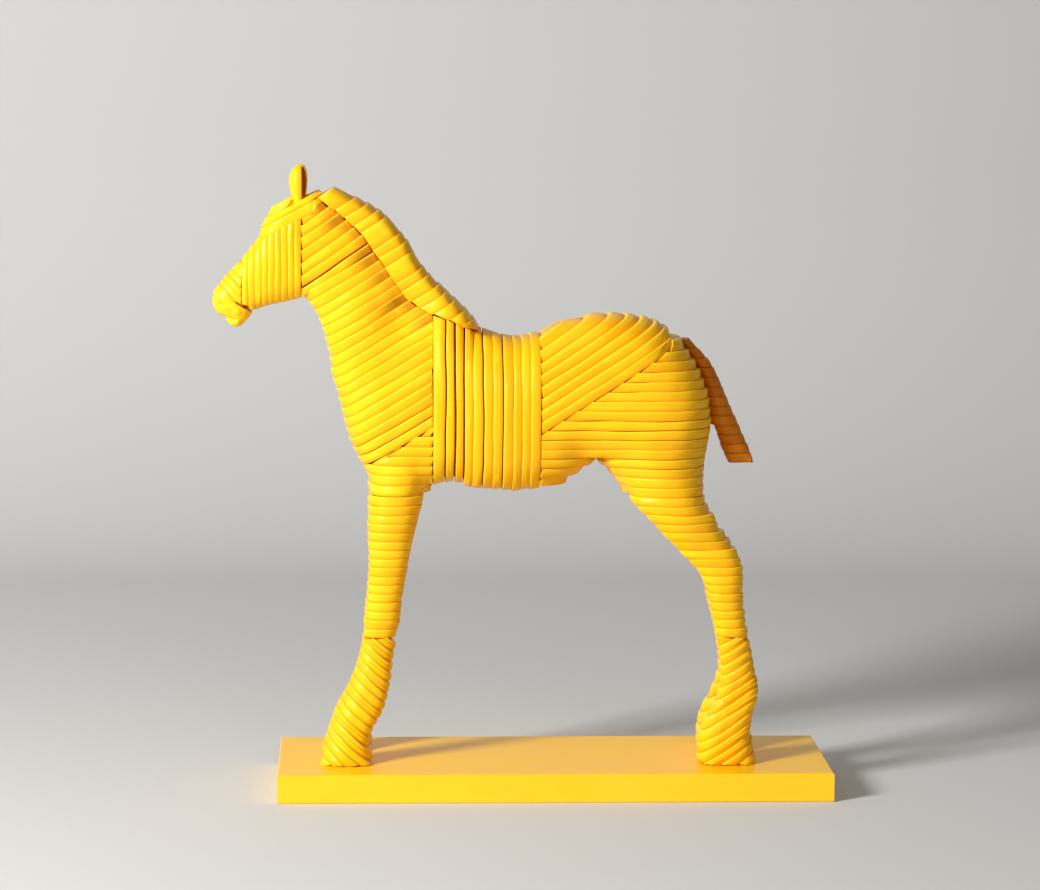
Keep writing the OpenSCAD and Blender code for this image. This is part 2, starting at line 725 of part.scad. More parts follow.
module leg_core(side, shape, lower_region, lower_slope, lower_cuts) {
    color(bare_core)
        difference() {
            intersection() {
                on_side(side) {
                    steps_under(shape, upper_leg_region, level, upper_leg_cuts);
                    steps_under(shape, lower_region, lower_slope, lower_cuts);
                }
                within(leg_bounds);
            }
            leg_dowels_in(dowel_gap);
            foot_dowels_in(dowel_gap);
        }
}
module foreleg_core(side) {
    leg_core(side, foreleg, lower_foreleg_region, forecannon_slope, forecannon_cuts);
}
module hindleg_core(side) {
    leg_core(side, hindleg(side), lower_hindleg_region, hindcannon_slope, hindcannon_cuts);
}

// The muzzle is one shaped piece: a lip and a chin that grow out of the head's own section
lip_share = [0.034, 0.773];
lip_r_share = 0.0304;
chin_share = [0.045, 0.744];
chin_r_share = 0.0152;
nostril_share = [0.013, 0.775];
nostril_r_share = 0.006;
mouth_share = [0.016, 0.7435];
mouth_t_share = 0.0035;
muzzle_slope = atan2(
    (muzzle_seam_shares[0][1] - muzzle_seam_shares[1][1]) * horse_h,
    (muzzle_seam_shares[0][0] - muzzle_seam_shares[1][0]) * horse_l
);
module muzzle() {
    root = across(place(muzzle_seam_shares[0]), muzzle_slope);
    color(paint)
        difference() {
            intersection() {
                hull() {
                    ball(lip_share, lip_r_share * horse_h, muzzle_w / 2);
                    ball(chin_share, chin_r_share * horse_h, muzzle_w / 3);
                    rotate([0, -muzzle_slope, 0])
                        translate([0, 0, root - tiny])
                            linear_extrude(height = tiny)
                                sections(body, muzzle_region, [root - tiny], muzzle_slope, 0, 0, overrun);
                }
                within(inset(muzzle_region, seam_gap / 2));
            }
            for (side = [left, right])
                translate([0, side * muzzle_w / 2, 0])
                    ball(nostril_share, nostril_r_share * horse_h, nostril_r_share * horse_h);
            ball(mouth_share, 3 * mouth_t_share * horse_h, muzzle_w, mouth_t_share * horse_h);
            muzzle_dowel_in(dowel_gap);
        }
}
module ball(share, r, half, high = 0) {
    translate([place(share)[0], 0, place(share)[1]])
        scale([r, half, high == 0 ? r : high])
            sphere(r = 1, $fn = fine / 2);
}

// An ear is a cupped leaf, open to the rear and outward, on a peg
ear_share = [0.159, 0.939];
ear_leaf_shares = [
    [-0.75, 0], [-0.85, 0.15], [-1.1, 0.35], [-1.12, 0.65], [-0.8, 0.88], [-0.2, 1], [0.5, 0.93],
    [1.05, 0.7], [1.1, 0.4], [0.9, 0.1], [0.8, 0]
];
// How far round the leaf runs, and how far up it the peg does
ear_open_share = 0.35;
ear_peg_share = 0.2;
ear_root = place(ear_share);
ear_h = place([0, 1])[1] - ear_root[1];
module ear(side) {
    color(paint) {
        ear_leaf(side, 0);
        ear_peg(side, 0);
    }
}
module ear_leaf(side, room) {
    translate([ear_root[0], side * ear_out, ear_root[1]])
        intersection() {
            rotate([0, 0, side * ear_turn])
                linear_extrude(height = 3 * ear_h, center = true)
                    difference() {
                        circle(r = ear_r + room, $fn = fine);
                        circle(r = ear_r - ear_t - room, $fn = fine);
                        translate([ear_r * ear_open_share + room, -2 * ear_r])
                            square(4 * ear_r);
                    }
            rotate([90, 0, 0])
                linear_extrude(height = 4 * ear_r, center = true)
                    offset_leaf(room);
        }
}
// The leaf from the side, with room round it
module offset_leaf(room) {
    polygon(inset([for (share = ear_leaf_shares) [share[0] * ear_r, share[1] * ear_h]], -room));
}
// The peg is let into the ear's closed side, from inside, and runs down into the head
module ear_peg(side, room) {
    translate([ear_root[0], side * ear_out, ear_root[1] - ear_peg_l - room])
        rotate([0, 0, side * ear_turn])
            translate([ear_t / 2 + ear_peg_d / 2 - ear_r, 0, 0])
                cylinder(d = ear_peg_d + 2 * room, h = ear_peg_l + ear_peg_share * ear_h + room, $fn = fine);
}

// Families of strips on the body
module face_strips() {
    color(paint) strips(body, face_region, upright, face_cuts);
}
module nose_strips() {
    color(paint)
        difference() {
            strips(body, nose_region, nose_slope, nose_cuts);
            muzzle_dowel_in(dowel_gap);
        }
}
module brow_strips() {
    color(paint)
        difference() {
            strips(body, brow_region, brow_slope, brow_cuts);
            for (side = [left, right]) {
                ear_leaf(side, dowel_gap);
                ear_peg(side, dowel_gap);
            }
        }
}
module throat_strips() {
    color(paint) strips(body, throat_region, throat_slope, throat_cuts);
}
module neck_strips() {
    color(paint) strips(body, neck_region, neck_slope, neck_cuts);
}
module mane_strips() {
    color(paint) strips(mane, mane_region, neck_slope, mane_cuts, mane_t, mane_rise);
}
module shoulder_strips() {
    color(paint)
        difference() {
            strips(body, shoulder_region, level, shoulder_cuts);
            leg_dowels_in(dowel_gap);
        }
}
module girth_strips() {
    color(paint) strips(body, girth_region, upright, girth_cuts);
}
module croup_strips() {
    color(paint) strips(body, croup_region, croup_slope, croup_cuts);
}
module haunch_strips() {
    color(paint)
        difference() {
            strips(body, haunch_region, level, haunch_cuts);
            tail_dowel_in(dowel_gap);
        }
}
module tail_strips() {
    color(paint)
        difference() {
            strips(tail, tail_region, level, tail_cuts);
            tail_dowel_in(dowel_gap);
        }
}

// Families of strips on the legs
module on_side(side) {
    translate([0, side * stance / 2, 0])
        children();
}
module forearm_strips(side) {
    color(paint) on_side(side) strips(foreleg, upper_leg_region, level, upper_leg_cuts);
}
module forecannon_strips(side) {
    color(paint) on_side(side) strips(foreleg, lower_foreleg_region, forecannon_slope, forecannon_cuts);
}
module thigh_strips(side) {
    color(paint) on_side(side) strips(hindleg(side), upper_leg_region, level, upper_leg_cuts);
}
module hindcannon_strips(side) {
    color(paint) on_side(side)
        strips(hindleg(side), lower_hindleg_region, hindcannon_slope, hindcannon_cuts);
}

plinth();
head_core();
neck_core();
trunk_core();
tail_core();
foreleg_core(left);  // left_foreleg_core
foreleg_core(right);  // right_foreleg_core
hindleg_core(left);  // left_hindleg_core
hindleg_core(right);  // right_hindleg_core
muzzle();
ear(left);  // left_ear
ear(right);  // right_ear
face_strips();
nose_strips();
brow_strips();
throat_strips();
neck_strips();
mane_strips();
shoulder_strips();
girth_strips();
croup_strips();
haunch_strips();
tail_strips();
forearm_strips(left);  // left_forearm_strips
forecannon_strips(left);  // left_forecannon_strips
forearm_strips(right);  // right_forearm_strips
forecannon_strips(right);  // right_forecannon_strips
thigh_strips(left);  // left_thigh_strips
hindcannon_strips(left);  // left_hindcannon_strips
thigh_strips(right);  // right_thigh_strips
hindcannon_strips(right);  // right_hindcannon_strips
foot_dowels();
leg_dowels();
neck_dowel();
head_dowel();
muzzle_dowel();
tail_dowel();
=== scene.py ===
"""Horse figurine clad in painted wooden strips: its finish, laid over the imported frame.

Every family of strips in the frame is read as a set of flat bands, and each band is laid again
as a real strip, with a crown, rounded edges, uneven joints and trimmed ends. The muzzle and the
ears are shaped anew. The plinth, the cores and the dowels are the frame's own, with new materials.
"""

import math
import random
from dataclasses import dataclass, field, replace

import bmesh
import bpy
import numpy as np
from mathutils import Matrix, Vector, noise


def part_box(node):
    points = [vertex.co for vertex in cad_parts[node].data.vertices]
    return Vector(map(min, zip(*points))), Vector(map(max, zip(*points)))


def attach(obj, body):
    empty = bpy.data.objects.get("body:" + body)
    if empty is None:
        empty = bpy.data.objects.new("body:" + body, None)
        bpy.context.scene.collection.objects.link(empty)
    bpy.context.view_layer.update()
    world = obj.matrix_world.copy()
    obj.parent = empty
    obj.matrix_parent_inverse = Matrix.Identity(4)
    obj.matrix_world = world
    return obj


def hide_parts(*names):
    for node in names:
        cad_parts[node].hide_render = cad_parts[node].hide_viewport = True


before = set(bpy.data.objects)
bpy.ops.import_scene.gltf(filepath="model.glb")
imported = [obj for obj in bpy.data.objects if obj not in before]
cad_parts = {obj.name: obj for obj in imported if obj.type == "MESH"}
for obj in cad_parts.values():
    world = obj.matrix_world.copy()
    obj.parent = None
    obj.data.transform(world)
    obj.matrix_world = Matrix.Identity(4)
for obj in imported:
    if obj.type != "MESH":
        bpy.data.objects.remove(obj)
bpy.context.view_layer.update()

MM = 0.001
# A length too small to matter
NOTHING = 1e-6

# The camera that took the photograph, fitted to the plinth's edges
CAMERA_PLACE = (-99.5 * MM, -1822.1 * MM, 402.8 * MM)
CAMERA_YAW = math.radians(2.58)
CAMERA_DIP = math.radians(7.11)
CAMERA_ROLL = math.radians(0.34)
CAMERA_LENS = 125.03
CAMERA_SENSOR = 36
CAMERA_CLIP = 0.05


@dataclass
class Lay:
    """How one family of strips is laid. Lengths are in metres."""

    # Height of the crown across a strip, and the roundings of its proud edge and of the other one
    crown: float = 0.06 * MM
    proud_edge: float = 0.42 * MM
    tucked_edge: float = 0.14 * MM
    # How far the edge on the higher side stands proud of the middle, below zero for the other edge
    tilt: float = 0.35 * MM
    # Thickness where the frame's strip is solid
    thick: float = 1.6 * MM
    # Gap at the joints, and at chosen joints counted from the lowest
    joint: float = 0.04 * MM
    wide_joints: dict = field(default_factory=dict)
    # How far the edges follow the strips beside them, on the sides and round the body's rim
    follow: float = 0.6
    rim_follow: float = 0.86
    # How much strips stand out unevenly, how much their edges wander, and how unevenly they are cut
    uneven: float = 0.12 * MM
    wander: float = 0.2 * MM
    trim: float = 0.35 * MM
    # Depth of the ledges that split a strip along part of its length
    ledge: float = 0.3 * MM
    # Share of each strip's length that has ledges, and how much more of it in each wave
    ledge_share: float = 0.5
    # How much further the last strip reaches on the lower and on the higher side, and open ends reach
    extra: tuple = (0, 0)
    end_reach: float = 0
    # How far those two sides of the last strips keep on following the body's curve
    curve_on: tuple = (1, 1)
    # Share of the relief that is left where the strip faces forward
    front: float = 1
    # How deep the strips sink at their rear ends, over what length, and above which height they
    # carry painted shade there
    sink: float = 0
    sink_length: float = 11 * MM
    shade_above: float = math.inf
    # How much further forward the strips reach where they lie higher than the second length
    forward: float = 0
    forward_above: float = 0


CANNON = Lay(crown=0.3 * MM, tilt=0.45 * MM, wander=0.35 * MM, ledge=0.55 * MM, ledge_share=0.75)
LAYS = {
    "girth_strips": Lay(
        tilt=-0.25 * MM, uneven=0.28 * MM, ledge=0.2 * MM,
        wide_joints={1: 0.8 * MM, 2: 1.1 * MM, 3: 0.9 * MM, 5: 0.7 * MM, 7: 0.6 * MM, 8: 0.2 * MM},
    ),
    "croup_strips": Lay(tilt=0.6 * MM, proud_edge=0.6 * MM, rim_follow=0.87),
    "haunch_strips": Lay(
        tilt=0.3 * MM, rim_follow=0.5, extra=(0, 0.8 * MM),
        wide_joints={3: 0.25 * MM, 4: 0.3 * MM, 6: 0.3 * MM, 7: 0.35 * MM, 8: 0.3 * MM},
    ),
    "shoulder_strips": Lay(tilt=0.35 * MM),
    "neck_strips": Lay(
        tilt=0.42 * MM, rim_follow=0.7, ledge_share=0.65, front=0.55, sink=0.7 * MM,
        wide_joints={1: 0.45 * MM, 2: 0.35 * MM}, shade_above=236 * MM,
    ),
    "throat_strips": Lay(
        tilt=0.45 * MM, wide_joints={1: 0.8 * MM}, extra=(-0.8 * MM, 0), sink=0.7 * MM, shade_above=0,
    ),
    "mane_strips": Lay(
        crown=0.05 * MM, tilt=0.2 * MM, thick=3 * MM, uneven=0.25 * MM, follow=0.7, rim_follow=0.8,
        trim=0.7 * MM, end_reach=0.4 * MM, ledge=0.15 * MM, extra=(0, 1.6 * MM), curve_on=(0, 1),
    ),
    "face_strips": Lay(tilt=-0.2 * MM, proud_edge=0.3 * MM, ledge=0.12 * MM, end_reach=-1.2 * MM),
    "nose_strips": Lay(tilt=-0.2 * MM, proud_edge=0.3 * MM, ledge=0, extra=(2.6 * MM, 2.6 * MM)),
    "brow_strips": Lay(
        crown=0.12 * MM, tilt=0.22 * MM, proud_edge=0.3 * MM, rim_follow=0.97, ledge=0.3 * MM,
        ledge_share=0.9, extra=(2 * MM, 0), end_reach=2 * MM,
    ),
    "tail_strips": Lay(
        tilt=0.2 * MM, follow=0.9, rim_follow=0.95, ledge=0, forward=1.7 * MM, forward_above=186 * MM
    ),
    "forearm_strips": Lay(tilt=0.3 * MM, rim_follow=0.6, uneven=0.25 * MM, ledge=0.25 * MM, front=0.7),
    "forecannon_strips": replace(CANNON, front=0.25),
    "thigh_strips": Lay(tilt=0.3 * MM, rim_follow=0.6, uneven=0.25 * MM, ledge=0.3 * MM),
    "hindcannon_strips": replace(CANNON, front=0.4),
}

# Level families that meet: what lies below, at -1, and above, at 1, the last row of each
MEETS = {
    ("shoulder_strips", -1): ["left_forearm_strips", "right_forearm_strips"],
    ("haunch_strips", -1): ["left_thigh_strips", "right_thigh_strips"],
}
MEETS |= {(leg, 1): [trunk] for (trunk, _), legs in MEETS.items() for leg in legs}

# Shares of the step between two families that meet which their rows take up, from the nearest row
BLEND = (0.42, 0.25, 0.08)

# Steps between the stations along a strip, the short one at a cut end, and the fewest of them
STATION = 1.4 * MM
END_STATION = 0.3 * MM
LEAST_STATIONS = 4
# Where across a strip its outline is read from the frame, as shares of half its width
LEVELS = (-0.9, 0, 0.9)
# How far off those places it is read, so that no corner lies on a level
OFF_LEVEL = NOTHING / 9
# A strip that reaches less than this past the middle plane lies on one side of it
ONE_SIDED = NOTHING * 100
# A side wall's normal leans sideways by less than this share, and the walls that a family's slope
# is taken from slope alike to within these degrees
WALL_LEAN = 1e-3
SLOPE_SPREAD = 1
# Decimals of a section's places, and how close to its neighbours' line a point is left out
SECTION_DIGITS = 7
STRAIGHT = 0.01 * MM
# An outline that comes this close to the middle plane goes round the body's rim
CLOSED = 3 * MM
# Neighbours of one form whose middles lie this close along the strip are matched all the way
SAME_PLACE = 12 * MM
# A neighbour of another form is followed fully up to the first distance, not at all from the second
REACH = (6.5 * MM, 10 * MM)
# It isn't followed where less than the first share of the way to it runs outward, and is followed
# fully from the second share on
OUTWARD_SHARE = (0.5, 0.8)
# A line of a section that lies this far inside the outer outline belongs to the inner one
INSIDE = 0.3 * MM
# Lines of a section that run this little along the strip are its cut ends
UPRIGHT = 0.02 * MM
# Spacing of the points along the inner outline
FINE_STEP = 0.4 * MM
# How far the underside stays off the inner outline, as a share of the strip's depth
OFF_CORE = 0.04
# Length of the waves in a strip's edges and in its face, and of the ledges along it
WAVE = 18 * MM
LEDGE_WAVE = 45 * MM
# Brings the noise to between about -1 and 1
WAVE_GAIN = 2
# Seeds of waves run from zero to this, and the next number spreads them in depth
MOST_SEED = 99
SEED_DEPTH = 1.7
# Where a rounded edge has its middle point, as a share of the rounding
EDGE_TURN = 0.3
# Where a ledge starts to rise and where it has dropped, and the range of its own place, as shares
# of half the strip's width
LEDGE_SLOPE = 0.3
LEDGE_STEP = 0.08
LEDGE_PLACE = (-0.25, 0.45)
# How steeply the ledges' waves rise, and how much the share of the length with ledges moves them
LEDGE_SWELL = 3
LEDGE_REACH = 4
# How unevenly a family's strips are tilted, and how long and how dark the painted shade at their
# ends is
TILT_SPREAD = (0.6, 1.4)
TUCK_SHADE_LENGTH_SPREAD = (0.6, 1.6)
TUCK_SHADE_SPREAD = (0.4, 1)
# Points of a smooth line between two points of the outline that it goes through
SPAN_STEPS = 10
# How far an open end runs on past the frame's seam before it is trimmed
RUN_ON = 4 * MM
# The most that an open end's slant may draw an edge along the strip
MOST_SLANT = 5.5 * MM
# A strip keeps the slant at which the frame cuts it up to the first distance from an open end, and
# has lost it at the second
END_CUT = (2 * MM, 6 * MM)
# Half of the frame's gaps between strips and along seams, less what stays open
SEAM_CLOSED = 0.18 * MM
# Strips whose middles lie this close across their slope are in one row
SAME_ROW = 1 * MM
# Names of the values that points carry for the paint and for the painted shade at tucked ends,
# and the tone of pieces that aren't strips
FINISH = "strip_finish"
TUCK_SHADE = "strip_tuck_shade"
PLAIN_TONE = 0.2
# Edges that turn by more degrees than this are sharp
SHARP_ANGLE = 50


def solids_of(obj):
    """The separate solids in a node's mesh, each as an array of its triangles' corners."""
    mesh = obj.data
    mesh.calc_loop_triangles()
    corners = np.array([vertex.co for vertex in mesh.vertices])
    triangles = np.array([triangle.vertices for triangle in mesh.loop_triangles])
    _, welded = np.unique(np.round(corners / (2 * NOTHING)), axis=0, return_inverse=True)
    triangles_welded = welded.reshape(-1)[triangles]
    parent = list(range(welded.max() + 1))

    def root(i):
        while parent[i] != i:
            parent[i] = parent[parent[i]]
            i = parent[i]
        return i

    for a, b, c in triangles_welded:
        parent[root(a)] = root(b)
        parent[root(c)] = root(b)
    owner = np.array([root(a) for a in triangles_welded[:, 0]])
    return [corners[triangles[owner == solid]] for solid in np.unique(owner)]


def slope_of(solids):
    """Slope of a family of strips in the side view, from its strips' flat side walls."""
    corners = np.concatenate(solids)
    normal = np.cross(corners[:, 1] - corners[:, 0], corners[:, 2] - corners[:, 0])
    wall = np.abs(normal[:, 1]) < WALL_LEAN * np.linalg.norm(normal, axis=1)
    angle = np.degrees(np.arctan2(normal[wall, 2], normal[wall, 0])) % 180
    area = np.linalg.norm(normal[wall], axis=1)
    rounded = np.round(angle) % 180
    best = max(np.unique(rounded), key=lambda value: area[rounded == value].sum())
    offset = (angle - best + 90) % 180 - 90
    near = np.abs(offset) < SLOPE_SPREAD
    return math.radians(best + np.average(offset[near], weights=area[near]) - 90)


def turned(points, slope):
    """Points as (along the strips, sideways, across the strips)."""
    c, s = math.cos(slope), math.sin(slope)
    return points @ np.array([[c, 0, -s], [0, 1, 0], [s, 0, c]])


def turned_back(points, slope):
    """Turned points in the frame's own directions again."""
    c, s = math.cos(slope), math.sin(slope)
    return points @ np.array([[c, 0, s], [0, 1, 0], [-s, 0, c]])


def section(corners, level):
    """Segments, as pairs of (along, sideways), in which a solid is cut at one level across it."""
    above = corners[:, :, 2] - level
    segments = []
    for triangle, height in zip(corners, above):
        cut = [
            triangle[i] + (triangle[i - 1] - triangle[i]) * height[i] / (height[i] - height[i - 1])
            for i in range(3)
            if height[i] * height[i - 1] < 0
        ]
        if len(cut) == 2:
            segments.append([cut[0][:2], cut[1][:2]])
    return np.array(segments)


def outer_half(segments, middle):
    """Outer outline of a section, as (along, distance from the middle plane), straight bits joined."""
    ends = np.round(segments[:, :, 0], SECTION_DIGITS)
    half = np.abs(segments[:, :, 1] - middle)
    along = np.unique(ends)
    height = np.zeros(len(along))
    for (a, b), (ha, hb) in zip(ends, half):
        if a > b:
            a, b, ha, hb = b, a, hb, ha
        inside = (along >= a) & (along <= b)
        share = (along[inside] - a) / (b - a) if b > a else np.ones(inside.sum())
        reached = np.maximum(ha, hb) if b == a else ha + (hb - ha) * share
        height[inside] = np.maximum(height[inside], reached)
    points = np.stack([along, height], axis=1)
    kept = [points[0]]
    for i in range(1, len(points) - 1):
        before, point, after = kept[-1], points[i], points[i + 1]
        run = after - before
        off = abs(run[0] * (point - before)[1] - run[1] * (point - before)[0]) / np.hypot(*run)
        if off > STRAIGHT and point[0] - before[0] > UPRIGHT:
            kept.append(point)
    return np.array(kept + [points[-1]])


def smoothed(points, closed):
    """A smooth line through points, with its length so far at each of its own points."""
    if closed:
        points = np.concatenate([points, points[:1]])
    step = np.diff(points, axis=0)
    length = np.maximum(np.linalg.norm(step, axis=1), NOTHING)
    way = step / length[:, None]
    before = np.append(-1 if closed else 0, np.arange(len(way)))
    after = np.append(np.arange(len(way)), 0 if closed else -1)
    lean = way[before] * length[after, None] + way[after] * length[before, None]
    lean /= (length[before] + length[after])[:, None]
    line = []
    for i in range(len(step)):
        t = np.arange(0, 1, 1 / SPAN_STEPS)[:, None]
        line.append(
            points[i] * (1 + 2 * t) * (1 - t) ** 2
            + points[i + 1] * t * t * (3 - 2 * t)
            + lean[i] * length[i] * t * (1 - t) ** 2
            - lean[i + 1] * length[i] * t * t * (1 - t)
        )
    line = np.concatenate(line + [points[-1:]])
    run = np.linalg.norm(np.diff(line, axis=0), axis=1)
    return line, np.concatenate([[0], np.cumsum(run)])


def run_on(points):
    """A path with both of its open ends run straight on, to be trimmed later."""
    start, end = points[0] - points[1], points[-1] - points[-2]
    return np.concatenate([
        [points[0] + start / np.linalg.norm(start) * RUN_ON],
        points,
        [points[-1] + end / np.linalg.norm(end) * RUN_ON],
    ])


def inner_line(segments, half, middle):
    """Close points along a section's inner outline, which faces the core."""
    centres = segments.mean(axis=1)
    outer = np.interp(centres[:, 0], half[:, 0], half[:, 1])
    deep = outer - np.abs(centres[:, 1] - middle) > INSIDE
    runs_along = np.abs(segments[:, 1, 0] - segments[:, 0, 0]) > UPRIGHT
    points = [np.zeros((0, 2))]
    for start, end in segments[deep & runs_along]:
        count = 2 + int(np.hypot(*(end - start)) / FINE_STEP)
        points.append(start + (end - start) * np.linspace(0, 1, count)[:, None] - [0, middle])
    return np.concatenate(points)


@dataclass
class Strip:
    """A strip in its family's own directions.

    paths holds its path at each level, inner points on its underside, and low and high its place
    across. kind holds its side of the body, 0 for both, whether it closes, and whether each end of
    its outline comes to the middle plane.
    """

    paths: list
    inner: np.ndarray
    kind: tuple
    low: float
    high: float

    @property
    def side(self):
        return self.kind[0]

    @property
    def closed(self):
        return self.kind[1]

    @property
    def length(self):
        return self.paths[1][1][-1]

    @property
    def middle(self):
        return (self.low + self.high) / 2

    @property
    def centre(self):
        return self.paths[1][0][:, 0].mean()

    def at(self, level, shares):
        """Points at shares of the path's length, at one of the levels."""
        line, length = self.paths[level]
        return np.stack([np.interp(shares * length[-1], length, line[:, k]) for k in (0, 1)], axis=1)


def path_round(half, side, starts_closed, ends_closed):
    """The path of a strip round the body from its outline on one side, and whether it closes."""
    right, left = half.copy(), half * [1, -1]
    if starts_closed:
        right[0, 1] = left[0, 1] = 0
    if ends_closed:
        right[-1, 1] = left[-1, 1] = 0
    if side == 0 and starts_closed and ends_closed:
        return np.concatenate([right, left[-2:0:-1]]), True
    if side == 0 and starts_closed:
        return np.concatenate([left[:0:-1], right]), False
    if side == 0:
        return np.concatenate([right, left[-2::-1]]), False
    return (right if side > 0 else left[::-1]), False


def strips_in(solids, slope, middle):
    """Every strip of a family, from the lowest across to the highest."""
    strips = []
    for corners in solids:
        corners = turned(corners.reshape(-1, 3), slope).reshape(-1, 3, 3)
        low, high = corners[:, :, 2].min(), corners[:, :, 2].max()
        sideways = corners[:, :, 1] - middle
        sides = [0]
        if sideways.min() > -ONE_SIDED:
            sides = [1]
        if sideways.max() < ONE_SIDED:
            sides = [-1]
        levels = [(low + high) / 2 + level * (high - low) / 2 + OFF_LEVEL for level in LEVELS]
        sections = [section(corners, level) for level in levels]
        halves = [outer_half(segments, middle) for segments in sections]
        ends = [(half[0, 1] < CLOSED, half[-1, 1] < CLOSED) for half in halves]
        if not any(ends[1]) and sides == [0]:
            sides = [-1, 1]
        inner = inner_line(sections[1], halves[1], middle)
        usable = [half if end == ends[1] else halves[1] for half, end in zip(halves, ends)]
        for side in sides:
            paths = [path_round(half, side, *ends[1]) for half in usable]
            smooth = [smoothed(path if closed else run_on(path), closed) for path, closed in paths]
            own = inner[inner[:, 1] * side >= 0]
            strips.append(Strip(smooth, own, (side, paths[1][1], *ends[1]), low, high))
    return sorted(strips, key=lambda strip: strip.middle)


def rows_of(strips):
    """The strips in rows, each row at one place across."""
    rows = []
    for strip in strips:
        if rows and strip.middle - rows[-1][-1].middle < SAME_ROW:
            rows[-1].append(strip)
        else:
            rows.append([strip])
    return rows


def normals_of(points, closed):
    """Outward directions along a path, in (along, sideways)."""
    if closed:
        way = np.roll(points, -1, axis=0) - np.roll(points, 1, axis=0)
    else:
        way = np.gradient(points, axis=0)
    way /= np.maximum(np.linalg.norm(way, axis=1), NOTHING)[:, None]
    return np.stack([-way[:, 1], way[:, 0]], axis=1)


@dataclass
class Family:
    """One family of strips as the frame holds it, in rows from the lowest across to the highest."""

    node: str
    slope: float
    middle: float
    rows: list


@dataclass
class Beside:
    """What lies beside a strip: outlines, the edge that faces it, and strips of its own family."""

    line: np.ndarray
    edge: float
    middle: float
    strips: list


def read_family(node):
    """Reads a family of strips from its frame node."""
    low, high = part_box(node)
    middle = 0 if low.y < 0 < high.y else (low.y + high.y) / 2
    solids = solids_of(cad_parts[node])
    slope = slope_of(solids)
    return Family(node, slope, middle, rows_of(strips_in(solids, slope, middle)))


def beside(families, family, i, way):
    """What lies beside a row on its lower side, at way -1, or on its higher side, at way 1."""
    meets = [(families[node], -1 if way < 0 else 0) for node in MEETS.get((family.node, way), ())]
    if 0 <= i + way < len(family.rows):
        meets = [(family, i + way)]
    if not meets:
        return None
    lines = [
        strip.paths[1][0] + [0, other.middle - family.middle]
        for other, row in meets
        for strip in other.rows[row]
    ]
    other, row = meets[0]
    facing = other.rows[row][0]
    own = other.rows[row] if other is family else []
    return Beside(np.concatenate(lines), facing.low if way > 0 else facing.high, facing.middle, own)


def outward_gap(base, out, line):
    """How far another outline lies outward of a path, where it is near and straight across."""
    gap = line[None, :, :] - base[:, None, :]
    nearest = np.argmin((gap ** 2).sum(axis=2), axis=1)
    gap = gap[np.arange(len(base)), nearest]
    outward, distance = (gap * out).sum(axis=1), np.hypot(gap[:, 0], gap[:, 1]) + NOTHING
    near = np.interp(distance, REACH, (1, 0))
    straight = np.interp(np.abs(outward) / distance, OUTWARD_SHARE, (0, 1))
    return outward * near * straight


def blend_families(families):
    """Eases families that meet into one another over their last few rows."""
    moves = []
    for node, way in MEETS:
        family = families[node]
        line = beside(families, family, 0 if way < 0 else len(family.rows) - 1, way).line
        for share, row in zip(BLEND, family.rows[::-way]):
            for strip in row:
                for path, _ in strip.paths:
                    out = normals_of(path, strip.closed)
                    moves.append((path, out * outward_gap(path, out, line)[:, None] * share))
    for path, move in moves:
        path += move


@dataclass
class EdgeShift:
    """How far a strip's edge lies off its middle, along it and outward."""

    along: np.ndarray
    outward: np.ndarray


def edge_shift(strip, shares, level, half, neighbour):
    """Where an edge runs between a strip and its neighbour, against the strip's own middle."""
    base = strip.at(1, shares)
    out = normals_of(base, strip.closed)
    cut = (strip.at(level, shares) - base) / LEVELS[2]
    cut /= np.maximum(1, np.linalg.norm(cut, axis=1) / MOST_SLANT)[:, None]
    if neighbour is None:
        return EdgeShift(cut, np.zeros(len(base)))
    part = half / abs(neighbour.middle - strip.middle)
    same = [
        other for other in neighbour.strips
        if other.kind == strip.kind and abs(other.centre - strip.centre) < SAME_PLACE
    ]
    if same:
        lead = same[0].at(1, shares) - base
        outward = (lead * out).sum(axis=1)
        along = (lead - out * outward[:, None]) * part[:, None]
        from_end = np.minimum(shares, 1 - shares) * strip.length - RUN_ON
        near_end = 0 if strip.closed else np.interp(from_end, END_CUT, (1, 0))[:, None]
        return EdgeShift(along + (cut - along) * near_end, outward * part)
    return EdgeShift(cut, outward_gap(base, out, neighbour.line) * part)


def edge_shifts(strip, shares, half, lower, upper, curve_on):
    """The shifts of both edges. An edge with nothing beside it follows the curve of the other one."""
    low, high = edge_shift(strip, shares, 0, half, lower), edge_shift(strip, shares, 2, half, upper)
    if lower is None:
        low.outward = -high.outward * curve_on[0]
    if upper is None:
        high.outward = -low.outward * curve_on[1]
    return low, high


def waves(points, seed):
    """A slow wave along a path, between about -1 and 1."""
    return np.array([
        noise.noise(Vector((x / WAVE + seed, y / WAVE, seed * SEED_DEPTH))) * WAVE_GAIN
        for x, y in points
    ])


def stations_of(length, closed, start, end):
    """Where along a path the strip's cross-sections stand, from its trimmed start to its trimmed end."""
    count = max(LEAST_STATIONS, round((length - start - end) / STATION))
    if closed:
        return np.arange(count) * length / count
    even = np.linspace(start, length - end, count + 1)
    second, last_but_one = start + END_STATION, length - end - END_STATION
    return np.concatenate([even[:1], [second], even[1:-1], [last_but_one], even[-1:]])


def under_points(strip, run, thick):
    """Points under a strip: on its inner outline or, where it is solid, toward the middle plane."""
    margin = 0 if strip.closed else min(RUN_ON + STATION / 2, strip.length / 2)
    base = strip.at(1, run / strip.length)
    inside = strip.at(1, np.clip(run, margin, strip.length - margin) / strip.length)
    under, off = strip.inner, OFF_CORE
    if len(under) == 0 and strip.side == 0:
        line = strip.paths[1][0]
        under, off = line[np.abs(line[:, 1]) > thick] * [1, 0], 0
    if len(under) == 0:
        return base - normals_of(base, strip.closed) * thick
    nearest = under[np.argmin(((under[None] - inside[:, None]) ** 2).sum(axis=2), axis=1)]
    return nearest + (inside - nearest) * off + base - inside


